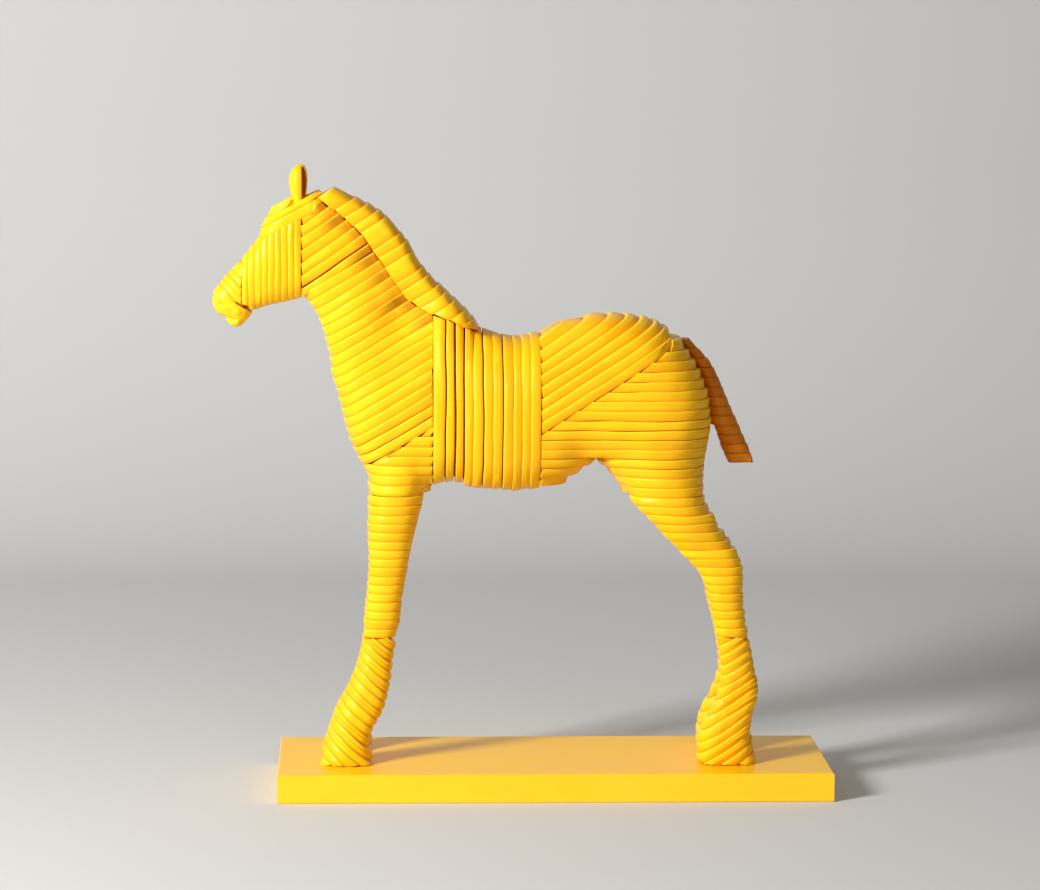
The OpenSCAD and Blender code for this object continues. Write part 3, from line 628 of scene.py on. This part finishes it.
def face_across(half, proud, tucked, split, ledge):
    """Places across a strip from its tucked edge to its proud one, each with its rise, or None below."""
    return [
        (-half, None), (-half, -tucked), (-half + EDGE_TURN * tucked, -EDGE_TURN * tucked),
        (-half + tucked, 0), ((split - LEDGE_SLOPE) * half, 0), (split * half, ledge / 2),
        ((split + LEDGE_STEP) * half, -ledge / 2), (half - proud, 0),
        (half - EDGE_TURN * proud, -EDGE_TURN * proud), (half, -proud), (half, None),
    ]


def laid_strip(strip, lay, edges, lower, upper, rng):
    """Cross-sections of one strip, as (stations, points round the section, 3), and its finish values.

    edges gives the strip's low and high edges along a path, and lower and upper are what lies
    beside it.
    """
    trims = [0, 0]
    if not strip.closed:
        trims = [RUN_ON - lay.end_reach - SEAM_CLOSED + rng.uniform(0, lay.trim) for _ in range(2)]
    run = stations_of(strip.length, strip.closed, *trims)
    shares = run / strip.length
    base = strip.at(1, shares)
    out = normals_of(base, strip.closed)
    low_edge, high_edge = edges(base)
    lift = rng.uniform(-1, 1) * lay.uneven
    lift = lift + waves(base, rng.uniform(0, MOST_SEED)) * lay.uneven / 2
    rear = base[:, 0].max()
    lift = lift - lay.sink * np.interp(base[:, 0], (rear - lay.sink_length, rear), (0, 1)) ** 2
    forward = np.clip(-out[:, 0], 0, 1)
    if strip.low > lay.forward_above:
        lift = lift + lay.forward * forward
    relief = 1 - (1 - lay.front) * forward
    tilt = lay.tilt * rng.uniform(*TILT_SPREAD) * relief
    way = 1 if lay.tilt > 0 else -1

    middle, half = (low_edge + high_edge) / 2, (high_edge - low_edge) / 2
    shifts = edge_shifts(strip, shares, half, lower, upper, lay.curve_on)
    follows = [
        lay.follow + (lay.rim_follow - lay.follow) * out[:, 0] ** 2 if other is None or other.strips else 1
        for other in (lower, upper)
    ]
    proud, tucked = (np.minimum(edge * relief, half / 2) for edge in (lay.proud_edge, lay.tucked_edge))
    split = rng.uniform(*LEDGE_PLACE)
    swell = waves(base * WAVE / LEDGE_WAVE, rng.uniform(0, MOST_SEED)) * LEDGE_SWELL
    raised = np.clip(swell + lay.ledge_share * LEDGE_REACH - LEDGE_REACH / 2, 0, 1)
    face = face_across(half, proud, tucked, split, lay.ledge * raised * relief)
    if way < 0:
        face = [(-aside, rise) for aside, rise in reversed(face)]
    end_drop = np.zeros(len(run))
    if not strip.closed:
        end_drop[[0, -1]] = lay.proud_edge
    under = under_points(strip, run, lay.thick)
    solid = len(strip.inner) == 0

    rings = np.zeros((len(run), len(face), 3))
    finish = np.zeros((len(run), len(face), 4))
    for k, (aside, rise) in enumerate(face):
        share = aside / half
        upper_half = int(np.mean(share) > 0)
        shift, follow = shifts[upper_half], follows[upper_half]
        along = shift.along * np.abs(share)[:, None]
        outward = shift.outward * np.abs(share) * follow
        if rise is None:
            rings[:, k, :2] = under + along + out * outward[:, None] * solid
        else:
            height = lift + tilt * share + lay.crown * relief * (1 - share ** 2) + rise - end_drop
            rings[:, k, :2] = base + along + out * (outward + height)[:, None]
        rings[:, k, 2] = middle + aside
        finish[:, k, 1] = share * way
    finish[:, :, 0] = run[:, None]
    finish[:, :, 2] = rng.random()
    # Painted shade near the rear ends, where the strips tuck in under the mane
    if strip.low > lay.shade_above:
        tuck_shade_length = lay.sink_length * rng.uniform(*TUCK_SHADE_LENGTH_SPREAD)
        tuck_shade = np.interp(base[:, 0], (rear - tuck_shade_length, rear - tuck_shade_length / 3), (0, 1))
        finish[:, :, 3] = tuck_shade[:, None] * rng.uniform(*TUCK_SHADE_SPREAD)
    return rings, finish


def skin_of(rings, closed, first):
    """Faces round and along a strip whose points start at number first."""
    stations, around = rings.shape[:2]
    faces = []
    for j in range(stations if closed else stations - 1):
        here, there = first + j * around, first + (j + 1) % stations * around
        for k in range(around):
            after = (k + 1) % around
            faces.append((here + k, here + after, there + after, there + k))
    if not closed:
        faces.append([first + k for k in reversed(range(around))])
        faces.append([first + (stations - 1) * around + k for k in range(around)])
    return faces


def add_finish(mesh, finish):
    """Stores finish values: along a strip, across it, its tone, and its painted shade at a tuck."""
    layer = mesh.attributes.new(FINISH, "FLOAT_VECTOR", "POINT")
    layer.data.foreach_set("vector", finish[:, :3].astype(np.float32).ravel())
    tuck_shade = mesh.attributes.new(TUCK_SHADE, "FLOAT", "POINT")
    tuck_shade.data.foreach_set("value", finish[:, 3].astype(np.float32))


def added(name, data):
    """A new object in the scene."""
    made = bpy.data.objects.new(name, data)
    bpy.context.scene.collection.objects.link(made)
    return made


def mesh_piece(name, points, faces, finish, material):
    """A mesh object with its finish values."""
    mesh = bpy.data.meshes.new(name)
    mesh.from_pydata(points.tolist(), [], faces)
    add_finish(mesh, finish)
    mesh.materials.append(material)
    mesh.shade_smooth()
    mesh.set_sharp_from_angle(angle=math.radians(SHARP_ANGLE))
    return added(name, mesh)


def base_name(node):
    """A family's name without its side."""
    return node.removeprefix("left_").removeprefix("right_")


def edges_between(node, lay, i, strip, lower, upper):
    """A function that gives a strip's low and high edges along a path, with the joints left open."""
    seed = random.Random(base_name(node)).uniform(0, MOST_SEED)
    low, high = strip.low - SEAM_CLOSED - lay.extra[0], strip.high + SEAM_CLOSED + lay.extra[1]
    if lower:
        low = (lower.edge + strip.low) / 2 + lay.wide_joints.get(i, lay.joint) / 2
    if upper:
        high = (upper.edge + strip.high) / 2 - lay.wide_joints.get(i + 1, lay.joint) / 2
    wanders = [lay.wander * bool(other and other.strips) for other in (lower, upper)]

    def edges(path):
        return tuple(
            edge + waves(path, seed + number) * wander
            for edge, number, wander in zip((low, high), (i, i + 1), wanders)
        )

    return edges


def lay_family(families, family, lay, material):
    """Lays one family of strips over its frame node."""
    points, faces, finish = [], [], []
    count = 0
    for i, row in enumerate(family.rows):
        lower, upper = (beside(families, family, i, way) for way in (-1, 1))
        for j, strip in enumerate(row):
            rng = random.Random(f"{family.node}-{i}-{j}")
            edges = edges_between(family.node, lay, i, strip, lower, upper)
            rings, values = laid_strip(strip, lay, edges, lower, upper, rng)
            faces += skin_of(rings, strip.closed, count)
            points.append(rings.reshape(-1, 3) + [0, family.middle, 0])
            finish.append(values.reshape(-1, 4))
            count += rings.shape[0] * rings.shape[1]
    placed = turned_back(np.concatenate(points), family.slope)
    piece = mesh_piece(f"laid_{family.node}", placed, faces, np.concatenate(finish), material)
    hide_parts(family.node)
    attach(piece, "root")


def within_box(node, share_x, share_z):
    """A place in the side view, from its shares of a node's box."""
    low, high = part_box(node)
    return np.array([low.x + share_x * (high.x - low.x), low.z + share_z * (high.z - low.z)])


def near_line(points, start, end, width):
    """How near points in the side view lie to a line, from 1 on it to 0 at its width."""
    run = end - start
    share = np.clip(((points - start) @ run) / (run @ run), 0, 1)
    off = np.linalg.norm(points - start - share[:, None] * run, axis=1) / width
    return np.clip(1 - off, 0, 1) ** 2 * (1 + 2 * np.clip(off, 0, 1))


# Relief of the muzzle: from and to as shares of its box in the side view, width and height
MUZZLE_RELIEF = [
    ((0.28, 0.98), (0.62, 0.45), 3.0 * MM, 0.7 * MM),
    ((0.62, 0.45), (0.95, 0.2), 2.6 * MM, 0.5 * MM),
    ((0.1, 0.75), (0.45, 0.55), 2.2 * MM, 0.4 * MM),
    ((0.16, 0.33), (0.56, 0.2), 1.1 * MM, -1.1 * MM),
    ((0.2, 0.66), (0.26, 0.6), 1.7 * MM, -1.3 * MM),
    ((0.45, 0.62), (0.62, 0.84), 1.0 * MM, -0.4 * MM),
    ((0.45, 0.1), (0.62, 0.1), 2.4 * MM, 0.7 * MM),
]
MUZZLE_VOXEL = 0.45 * MM
# Passes in which the muzzle is smoothed before and after its relief
MUZZLE_PASSES = (8, 2)
# The muzzle's relief fades to this share toward its middle plane, inside this distance
MUZZLE_LEAST = 0.3
MUZZLE_MIDDLE = 4 * MM
# Relief at which the muzzle's paint is palest, as a painted highlight on its bands, and deepest,
# as painted shade, where it is hollow
MUZZLE_FULL = 0.6 * MM


def make_muzzle(material):
    """The muzzle: the frame's rough form rounded over, with crossing bands, nostrils and a mouth."""
    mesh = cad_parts["muzzle"].data.copy()
    mesh.name = "shaped_muzzle"
    piece = added("shaped_muzzle", mesh)
    bpy.context.view_layer.objects.active = piece
    piece.select_set(True)
    mesh.remesh_voxel_size = MUZZLE_VOXEL
    bpy.ops.object.voxel_remesh()
    piece.select_set(False)
    relax(mesh, MUZZLE_PASSES[0])
    places = np.array([vertex.co for vertex in mesh.vertices])
    normals = np.array([normal.vector for normal in mesh.vertex_normals])
    height = np.zeros(len(places))
    for start, end, width, rise in MUZZLE_RELIEF:
        start, end = within_box("muzzle", *start), within_box("muzzle", *end)
        height += near_line(places[:, [0, 2]], start, end, width) * rise
    height *= np.clip(np.abs(places[:, 1]) / MUZZLE_MIDDLE, MUZZLE_LEAST, 1)
    places += normals * height[:, None]
    mesh.vertices.foreach_set("co", places.ravel())
    relax(mesh, MUZZLE_PASSES[1])
    # The relief drives the paint too: a painted highlight on the bands, painted shade in the hollows
    relief = np.clip(height / MUZZLE_FULL, -1, 1)
    tone = np.full(len(places), PLAIN_TONE)
    add_finish(mesh, np.stack([places[:, 0], relief, tone, np.zeros(len(places))], axis=1))
    mesh.materials.clear()
    mesh.materials.append(material)
    mesh.shade_smooth()
    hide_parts("muzzle")
    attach(piece, "root")


def relax(mesh, passes):
    """Smooths a mesh a little, pass by pass."""
    shape = bmesh.new()
    shape.from_mesh(mesh)
    for _ in range(passes):
        bmesh.ops.smooth_vert(
            shape, verts=shape.verts, factor=0.5, use_axis_x=True, use_axis_y=True, use_axis_z=True
        )
    shape.to_mesh(mesh)
    shape.free()


# The ear from its root to its tip: share of its height, radius as a share of its own, and lean
EAR_RINGS = [
    (-0.12, 0.66, 0.1), (0.0, 0.7, 0.09), (0.15, 0.8, 0.06), (0.32, 0.95, 0.02), (0.5, 1.03, -0.01),
    (0.66, 1.03, -0.01), (0.8, 0.9, 0.03), (0.91, 0.68, 0.1), (0.975, 0.42, 0.17), (1.0, 0.16, 0.24),
]
# The cupped section runs from its near edge round the front to its far edge, in degrees from the rear
EAR_NEAR_EDGE = 66
EAR_FAR_EDGE = 345
EAR_COLUMNS = 15
EAR_THICKNESS = 0.9 * MM
EAR_RADIUS = 4.7 * MM
# The ear's root on the head, as a share of the node's height, above its peg
EAR_ROOT_SHARE = 0.245


def make_ear(node, material, inside):
    """A cupped leaf with a rounded rim, open to the rear and outward, with painted shade inside."""
    low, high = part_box(node)
    side = -1 if low.y < 0 else 1
    root = low.z + (high.z - low.z) * EAR_ROOT_SHARE
    height = high.z - root - EAR_THICKNESS / 4
    centre = (low + high) / 2
    points, faces, finish = [], [], []
    for row, (share, radius, lean) in enumerate(EAR_RINGS):
        for column in range(EAR_COLUMNS):
            turn = column / (EAR_COLUMNS - 1)
            angle = math.radians(EAR_NEAR_EDGE + (EAR_FAR_EDGE - EAR_NEAR_EDGE) * turn)
            reach = EAR_RADIUS * radius
            points.append((
                centre.x + reach * math.cos(angle) + EAR_RADIUS * lean,
                centre.y + side * reach * math.sin(angle),
                root + height * share,
            ))
            finish.append((height * share, turn * 2 - 1, PLAIN_TONE, 0))
            if row and column:
                here = row * EAR_COLUMNS + column
                faces.append((here, here - 1, here - 1 - EAR_COLUMNS, here - EAR_COLUMNS)[::side])
    piece = mesh_piece(f"cupped_{node}", np.array(points), faces, np.array(finish), material)
    # The inside takes the darker copy of the paint, as painted shade in the hollow
    piece.data.materials.append(inside)
    wall = piece.modifiers.new("wall", "SOLIDIFY")
    wall.thickness = EAR_THICKNESS
    wall.offset = -1
    wall.material_offset = 1
    rounded = piece.modifiers.new("rounded", "SUBSURF")
    rounded.levels = rounded.render_levels = 2
    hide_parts(node)
    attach(piece, "root")


def colour(red, green, blue):
    """A colour as it is seen, from 0 to 255, in the linear values that Blender takes."""
    shares = [value / 255 for value in (red, green, blue)]
    return tuple(s / 12.92 if s <= 0.04045 else ((s + 0.055) / 1.055) ** 2.4 for s in shares) + (1,)


PAINT = colour(255, 198, 8)
# Deeper tone, also used as pooled paint and painted shade in the joints
PAINT_DEEP = colour(244, 146, 0)
# Paler tone, also used as a painted highlight on proud edges
PAINT_PALE = colour(255, 213, 40)
# Painted shade where strips tuck in under the mane
TUCKED_SHADE_PAINT = colour(180, 112, 4)
# A darker copy of the paint: painted shade for the tail, the inside of the ears and the head core
SHADED_PAINT = colour(222, 126, 2)
SHADED_PAINT_DEEP = colour(166, 80, 0)
CORE_STAIN = colour(172, 92, 12)
CORE_STAIN_DEEP = colour(116, 56, 8)
DOWEL_WOOD = colour(214, 176, 118)
DOWEL_WOOD_DEEP = colour(176, 130, 76)


def node_of(tree, kind, inputs=None, **settings):
    """A new node with its settings, and its inputs set or linked."""
    node = tree.nodes.new(kind)
    for name, value in settings.items():
        setattr(node, name, value)
    for name, value in (inputs or {}).items():
        if isinstance(value, bpy.types.NodeSocket):
            tree.links.new(value, node.inputs[name])
        else:
            node.inputs[name].default_value = value
    return node


def mixed(tree, share, first, second):
    """The colour between two colours at a share."""
    return node_of(tree, "ShaderNodeMix", {0: share, 6: first, 7: second}, data_type="RGBA").outputs[2]


def mapped(tree, value, low, high, to_low=0.0, to_high=1.0):
    """A value stretched from one range to another."""
    return node_of(tree, "ShaderNodeMapRange", {
        "Value": value, "From Min": low, "From Max": high, "To Min": to_low, "To Max": to_high,
    }).outputs["Result"]


def reckoned(tree, how, first, second=0.0):
    """A sum, product or other working of two values."""
    return node_of(tree, "ShaderNodeMath", {0: first, 1: second}, operation=how).outputs[0]


def new_group(name, inputs, outputs):
    """A shader node group with named sockets, and what it is given and gives."""
    group = bpy.data.node_groups.new(name, "ShaderNodeTree")
    for socket, (kind, value) in inputs.items():
        made = group.interface.new_socket(socket, in_out="INPUT", socket_type=kind)
        if value is not None:
            made.default_value = value
    for socket, kind in outputs.items():
        group.interface.new_socket(socket, in_out="OUTPUT", socket_type=kind)
    return group, group.nodes.new("NodeGroupInput").outputs, group.nodes.new("NodeGroupOutput").inputs


def noise_of(tree, place, scale, detail, roughness):
    """Noise at a place, from about 0.3 to 0.7."""
    return node_of(tree, "ShaderNodeTexNoise", {
        "Vector": place, "Scale": scale, "Detail": detail, "Roughness": roughness,
    }).outputs["Fac"]


# What the groups below put out
SURFACE = {"Color": "NodeSocketColor", "Roughness": "NodeSocketFloat", "Height": "NodeSocketFloat"}
# How far apart the streaks of two strips lie in the noise, for the whole range of tones
TONE_STEP = 37.0


def brushed_paint_group():
    """Satin paint laid with a brush: streaks along a strip and clouds, deeper colour in the joints
    that is partly pooled paint and partly painted shade, a painted highlight on proud edges, and
    painted shade at tucked ends.
    """
    tree, given, gives = new_group("Brushed Paint", {
        "Finish": ("NodeSocketVector", None),
        "Place": ("NodeSocketVector", None),
        "Paint": ("NodeSocketColor", PAINT),
        "Deep Paint": ("NodeSocketColor", PAINT_DEEP),
        "Pale Paint": ("NodeSocketColor", PAINT_PALE),
        "Tucked Shade Paint": ("NodeSocketColor", TUCKED_SHADE_PAINT),
        "Tucked Shade": ("NodeSocketFloat", 0.0),
        "Streak Length": ("NodeSocketFloat", 0.03),
        "Streaks": ("NodeSocketFloat", 3.0),
        "Joint Depth": ("NodeSocketFloat", 0.5),
    }, SURFACE)
    parts = node_of(tree, "ShaderNodeSeparateXYZ", {"Vector": given["Finish"]}).outputs
    streak_place = node_of(tree, "ShaderNodeCombineXYZ", {
        "X": reckoned(tree, "DIVIDE", parts["X"], given["Streak Length"]),
        "Y": reckoned(tree, "MULTIPLY", parts["Y"], given["Streaks"]),
        "Z": reckoned(tree, "MULTIPLY", parts["Z"], TONE_STEP),
    }).outputs[0]
    streaks = noise_of(tree, streak_place, 1.0, 4.0, 0.62)
    clouds = noise_of(tree, given["Place"], 55.0, 5.0, 0.55)
    grit = noise_of(tree, given["Place"], 900.0, 2.0, 0.5)
    uneven = reckoned(tree, "ADD", parts["Y"], mapped(tree, clouds, 0, 1, -0.2, 0.2))
    # Deeper paint at the tucked side of each joint: partly pooled paint, partly painted shade
    joint_pool_and_shade = reckoned(tree, "MULTIPLY", mapped(tree, uneven, -0.3, -1.0), given["Joint Depth"])
    # A painted highlight along each strip's proud edge
    painted_edge_highlight = reckoned(tree, "MULTIPLY", mapped(tree, uneven, 0.5, 0.9), given["Joint Depth"])
    # Painted shade at the tucked ends, lighter on the proud edge
    tucked = reckoned(tree, "MULTIPLY", given["Tucked Shade"], mapped(tree, uneven, 0.55, 0.95, 1.0, 0.2))
    # Streaks, clouds and each strip's tone, then deeper paint in its joint, partly pooled paint and
    # partly painted shade, a painted highlight on its proud edge, and painted shade at its tucked end
    layers = [
        (mapped(tree, streaks, 0.35, 0.7, 0.0, 0.4), "Pale Paint"),
        (mapped(tree, clouds, 0.4, 0.75, 0.0, 0.3), "Deep Paint"),
        (mapped(tree, parts["Z"], 0.0, 1.0, 0.0, 0.28), "Deep Paint"),
        (joint_pool_and_shade, "Deep Paint"),
        (painted_edge_highlight, "Pale Paint"),
        (tucked, "Tucked Shade Paint"),
    ]
    painted = given["Paint"]
    for share, layer in layers:
        painted = mixed(tree, share, painted, given[layer])
    tree.links.new(painted, gives["Color"])
    tree.links.new(mapped(tree, streaks, 0.2, 0.8, 0.3, 0.46), gives["Roughness"])
    brushed, gritty = reckoned(tree, "MULTIPLY", streaks, 0.7), reckoned(tree, "MULTIPLY", grit, 0.12)
    tree.links.new(reckoned(tree, "ADD", brushed, gritty), gives["Height"])
    return tree


def wood_grain_group():
    """Plain wood: long grain along one direction, with darker pores."""
    tree, given, gives = new_group("Wood Grain", {
        "Place": ("NodeSocketVector", None),
        "Wood": ("NodeSocketColor", DOWEL_WOOD),
        "Dark Wood": ("NodeSocketColor", DOWEL_WOOD_DEEP),
        "Grain Scale": ("NodeSocketFloat", 220.0),
    }, SURFACE)
    stretched = node_of(tree, "ShaderNodeMapping", {
        "Vector": given["Place"], "Scale": (0.12, 1.0, 1.0),
    }).outputs["Vector"]
    grain = noise_of(tree, stretched, given["Grain Scale"], 6.0, 0.6)
    wood = mixed(tree, mapped(tree, grain, 0.35, 0.68), given["Wood"], given["Dark Wood"])
    tree.links.new(wood, gives["Color"])
    tree.links.new(mapped(tree, grain, 0.3, 0.7, 0.5, 0.68), gives["Roughness"])
    tree.links.new(grain, gives["Height"])
    return tree


def new_material(name):
    """A material, its tree and its shader."""
    material = bpy.data.materials.new(name)
    material.use_nodes = True
    tree = material.node_tree
    return material, tree, tree.nodes["Principled BSDF"]


def surfaced(name, group, inputs, bump, specular=0.2):
    """A material made by one of the groups, whose inputs may be functions that make a socket."""
    material, tree, shader = new_material(name)
    given = {"Place": tree.nodes.new("ShaderNodeTexCoord").outputs["Object"]}
    for socket, value in inputs.items():
        given[socket] = value(tree) if callable(value) else value
    made = node_of(tree, "ShaderNodeGroup", given, node_tree=group)
    relief = node_of(tree, "ShaderNodeBump", {
        "Height": made.outputs["Height"], "Distance": bump, "Strength": 1.0,
    })
    tree.links.new(made.outputs["Color"], shader.inputs["Base Color"])
    tree.links.new(made.outputs["Roughness"], shader.inputs["Roughness"])
    tree.links.new(relief.outputs["Normal"], shader.inputs["Normal"])
    shader.inputs["Specular IOR Level"].default_value = specular
    return material


def strip_finish(tree):
    """The finish values that each strip carries: along it, across it, and its tone."""
    return node_of(tree, "ShaderNodeAttribute", attribute_name=FINISH).outputs["Vector"]


def strip_tuck_shade(tree):
    """The painted shade that each strip carries where it tucks in under its neighbours."""
    return node_of(tree, "ShaderNodeAttribute", attribute_name=TUCK_SHADE).outputs["Fac"]


def board_finish(tree):
    """Finish values for a plain board, brushed along its length."""
    place = tree.nodes.new("ShaderNodeTexCoord").outputs["Object"]
    parts = node_of(tree, "ShaderNodeSeparateXYZ", {"Vector": place}).outputs
    over = reckoned(tree, "ADD", parts["Y"], parts["Z"])
    return node_of(tree, "ShaderNodeCombineXYZ", {
        "X": parts["X"], "Y": reckoned(tree, "MULTIPLY", over, 8.0), "Z": PLAIN_TONE,
    }).outputs[0]


# Depth of the brush marks and of the grain, and of those on flat boards and on turned dowels
MARKS = 0.05 * MM
BOARD_MARKS = 0.03 * MM
DOWEL_MARKS = 0.04 * MM
# How strongly bare wood and the plinth's smoother paint shine, as specular levels
WOOD_SHINE = 0.3
BOARD_SHINE = 0.5


def paint_materials():
    """The materials of the strips, the shaped pieces, the plinth, the cores and the dowels."""
    paint, wood = brushed_paint_group(), wood_grain_group()
    return {
        "strip": surfaced("strip_paint", paint, {
            "Finish": strip_finish, "Tucked Shade": strip_tuck_shade, "Joint Depth": 0.6,
        }, MARKS),
        # A darker copy of the paint, as painted shade, for the tail and the inside of the ears
        "shaded": surfaced("shaded_paint", paint, {
            "Finish": strip_finish, "Paint": SHADED_PAINT, "Deep Paint": SHADED_PAINT_DEEP,
            "Pale Paint": SHADED_PAINT,
        }, MARKS),
        "shaped": surfaced("shaped_paint", paint, {"Finish": strip_finish, "Joint Depth": 0.35}, MARKS),
        "plinth": surfaced("plinth_paint", paint, {
            "Finish": board_finish, "Streak Length": 0.05, "Streaks": 4.0, "Joint Depth": 0.0,
            "Deep Paint": PAINT,
        }, BOARD_MARKS, BOARD_SHINE),
        "core": surfaced("stained_core", wood, {
            "Wood": CORE_STAIN, "Dark Wood": CORE_STAIN_DEEP,
        }, MARKS, WOOD_SHINE),
        # Seen in the gaps between the head's strips, the head core takes painted shade: the darker paint
        "head_core": surfaced("painted_core", paint, {
            "Finish": board_finish, "Paint": SHADED_PAINT, "Joint Depth": 0.0,
        }, MARKS),
        "dowel": surfaced("dowel_wood", wood, {}, DOWEL_MARKS, WOOD_SHINE),
    }


def make_camera():
    """The photograph's camera."""
    data = bpy.data.cameras.new("camera")
    data.lens = CAMERA_LENS
    data.sensor_width = CAMERA_SENSOR
    data.clip_start = CAMERA_CLIP
    camera = added("camera", data)
    camera.matrix_world = (
        Matrix.Translation(CAMERA_PLACE)
        @ Matrix.Rotation(-CAMERA_YAW, 4, "Z")
        @ Matrix.Rotation(math.pi / 2 - CAMERA_DIP, 4, "X")
        @ Matrix.Rotation(CAMERA_ROLL, 4, "Z")
    )
    bpy.context.scene.camera = camera


# Each lamp's place, its width and its power: a soft key from the front and left, and a weak fill
LAMPS = {
    "key_lamp": ((-1.22, -1, 0.78), 0.42, 38),
    "fill_lamp": ((0.3, -1.7, 0.9), 0.9, 4),
}
LAMP_TARGET = (-20 * MM, 0, 170 * MM)
SKY_COLOUR = (1, 0.96, 0.9, 1)
# Strength of the sky as light, and as the camera sees it past the edge of the floor
SKY_LIGHT = 0.2
SKY_SEEN = 0.6


def make_lights():
    """The lamps, which the camera doesn't see, and a plain sky."""
    for name, (place, size, power) in LAMPS.items():
        data = bpy.data.lights.new(name, "AREA")
        data.shape = "DISK"
        data.size = size
        data.energy = power
        lamp = added(name, data)
        lamp.location = place
        lamp.rotation_euler = (Vector(LAMP_TARGET) - lamp.location).to_track_quat("-Z", "Y").to_euler()
        lamp.visible_camera = False
    world = bpy.data.worlds.new("sky")
    world.use_nodes = True
    tree = world.node_tree
    sky = tree.nodes["Background"].inputs
    sky["Color"].default_value = SKY_COLOUR
    seen = node_of(tree, "ShaderNodeLightPath").outputs["Is Camera Ray"]
    tree.links.new(mapped(tree, seen, 0, 1, SKY_LIGHT, SKY_SEEN), sky["Strength"])
    bpy.context.scene.world = world


# The floor runs from front to back and to each side, and bends up into the backdrop
SWEEP_FRONT = -3.0
SWEEP_BACK = 0.9
SWEEP_REACH = 4.0
SWEEP_HEIGHT = 2.5
SWEEP_BEND = 0.25
SWEEP_STEPS = 12
SWEEP_PAINT = colour(205, 205, 203)
SWEEP_ROUGHNESS = 0.9
# How much lighter than its paint the sweep is in its clouds
SWEEP_CLOUDS = 1.06


def sweep_material():
    """A matt surface with a faint cloudiness, clear from behind, for the floor and the backdrop."""
    material, tree, front = new_material("pale_backdrop")
    clouds = node_of(tree, "ShaderNodeTexNoise", {"Scale": 3.0, "Detail": 3.0}).outputs["Fac"]
    lighter = tuple(min(1, value * SWEEP_CLOUDS) for value in SWEEP_PAINT)
    shade = mixed(tree, mapped(tree, clouds, 0.3, 0.7), SWEEP_PAINT, lighter)
    tree.links.new(shade, front.inputs["Base Color"])
    front.inputs["Roughness"].default_value = SWEEP_ROUGHNESS
    surface = node_of(tree, "ShaderNodeMixShader", {
        0: node_of(tree, "ShaderNodeNewGeometry").outputs["Backfacing"],
        1: front.outputs["BSDF"],
        2: node_of(tree, "ShaderNodeBsdfTransparent").outputs["BSDF"],
    })
    tree.links.new(surface.outputs["Shader"], tree.nodes["Material Output"].inputs["Surface"])
    return material


def make_studio():
    """A pale floor that sweeps up into a backdrop."""
    bend_y = SWEEP_BACK - SWEEP_BEND
    profile = [(SWEEP_FRONT, 0), (bend_y, 0)]
    profile += [
        (bend_y + SWEEP_BEND * math.sin(angle), SWEEP_BEND - SWEEP_BEND * math.cos(angle))
        for angle in np.linspace(0, math.pi / 2, SWEEP_STEPS + 1)[1:]
    ]
    profile.append((SWEEP_BACK, SWEEP_HEIGHT))
    points = [(x, y, z) for y, z in profile for x in (-SWEEP_REACH, SWEEP_REACH)]
    faces = [(2 * i, 2 * i + 1, 2 * i + 3, 2 * i + 2) for i in range(len(profile) - 1)]
    mesh = bpy.data.meshes.new("studio_sweep")
    mesh.from_pydata(points, [], faces)
    mesh.shade_smooth()
    mesh.materials.append(sweep_material())
    added("studio_sweep", mesh)


def finish_frame_nodes(materials):
    """Gives the frame's own plinth, cores and dowels their materials."""
    for node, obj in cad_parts.items():
        kind = next((kind for kind in ("head_core", "core", "dowel", "plinth") if kind in node), None)
        if kind:
            obj.data.materials.clear()
            obj.data.materials.append(materials[kind])


bpy.context.scene.view_settings.view_transform = "Standard"
make_camera()
make_lights()
make_studio()
materials = paint_materials()
finish_frame_nodes(materials)
families = {node: read_family(node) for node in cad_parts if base_name(node) in LAYS}
blend_families(families)
for family in families.values():
    # The tail takes the darker copy of the paint, as painted shade for the body's shadow over it
    paint = materials["shaded" if family.node == "tail_strips" else "strip"]
    lay_family(families, family, LAYS[base_name(family.node)], paint)

make_muzzle(materials["shaped"])
for ear in ("left_ear", "right_ear"):
    make_ear(ear, materials["shaped"], materials["shaded"])
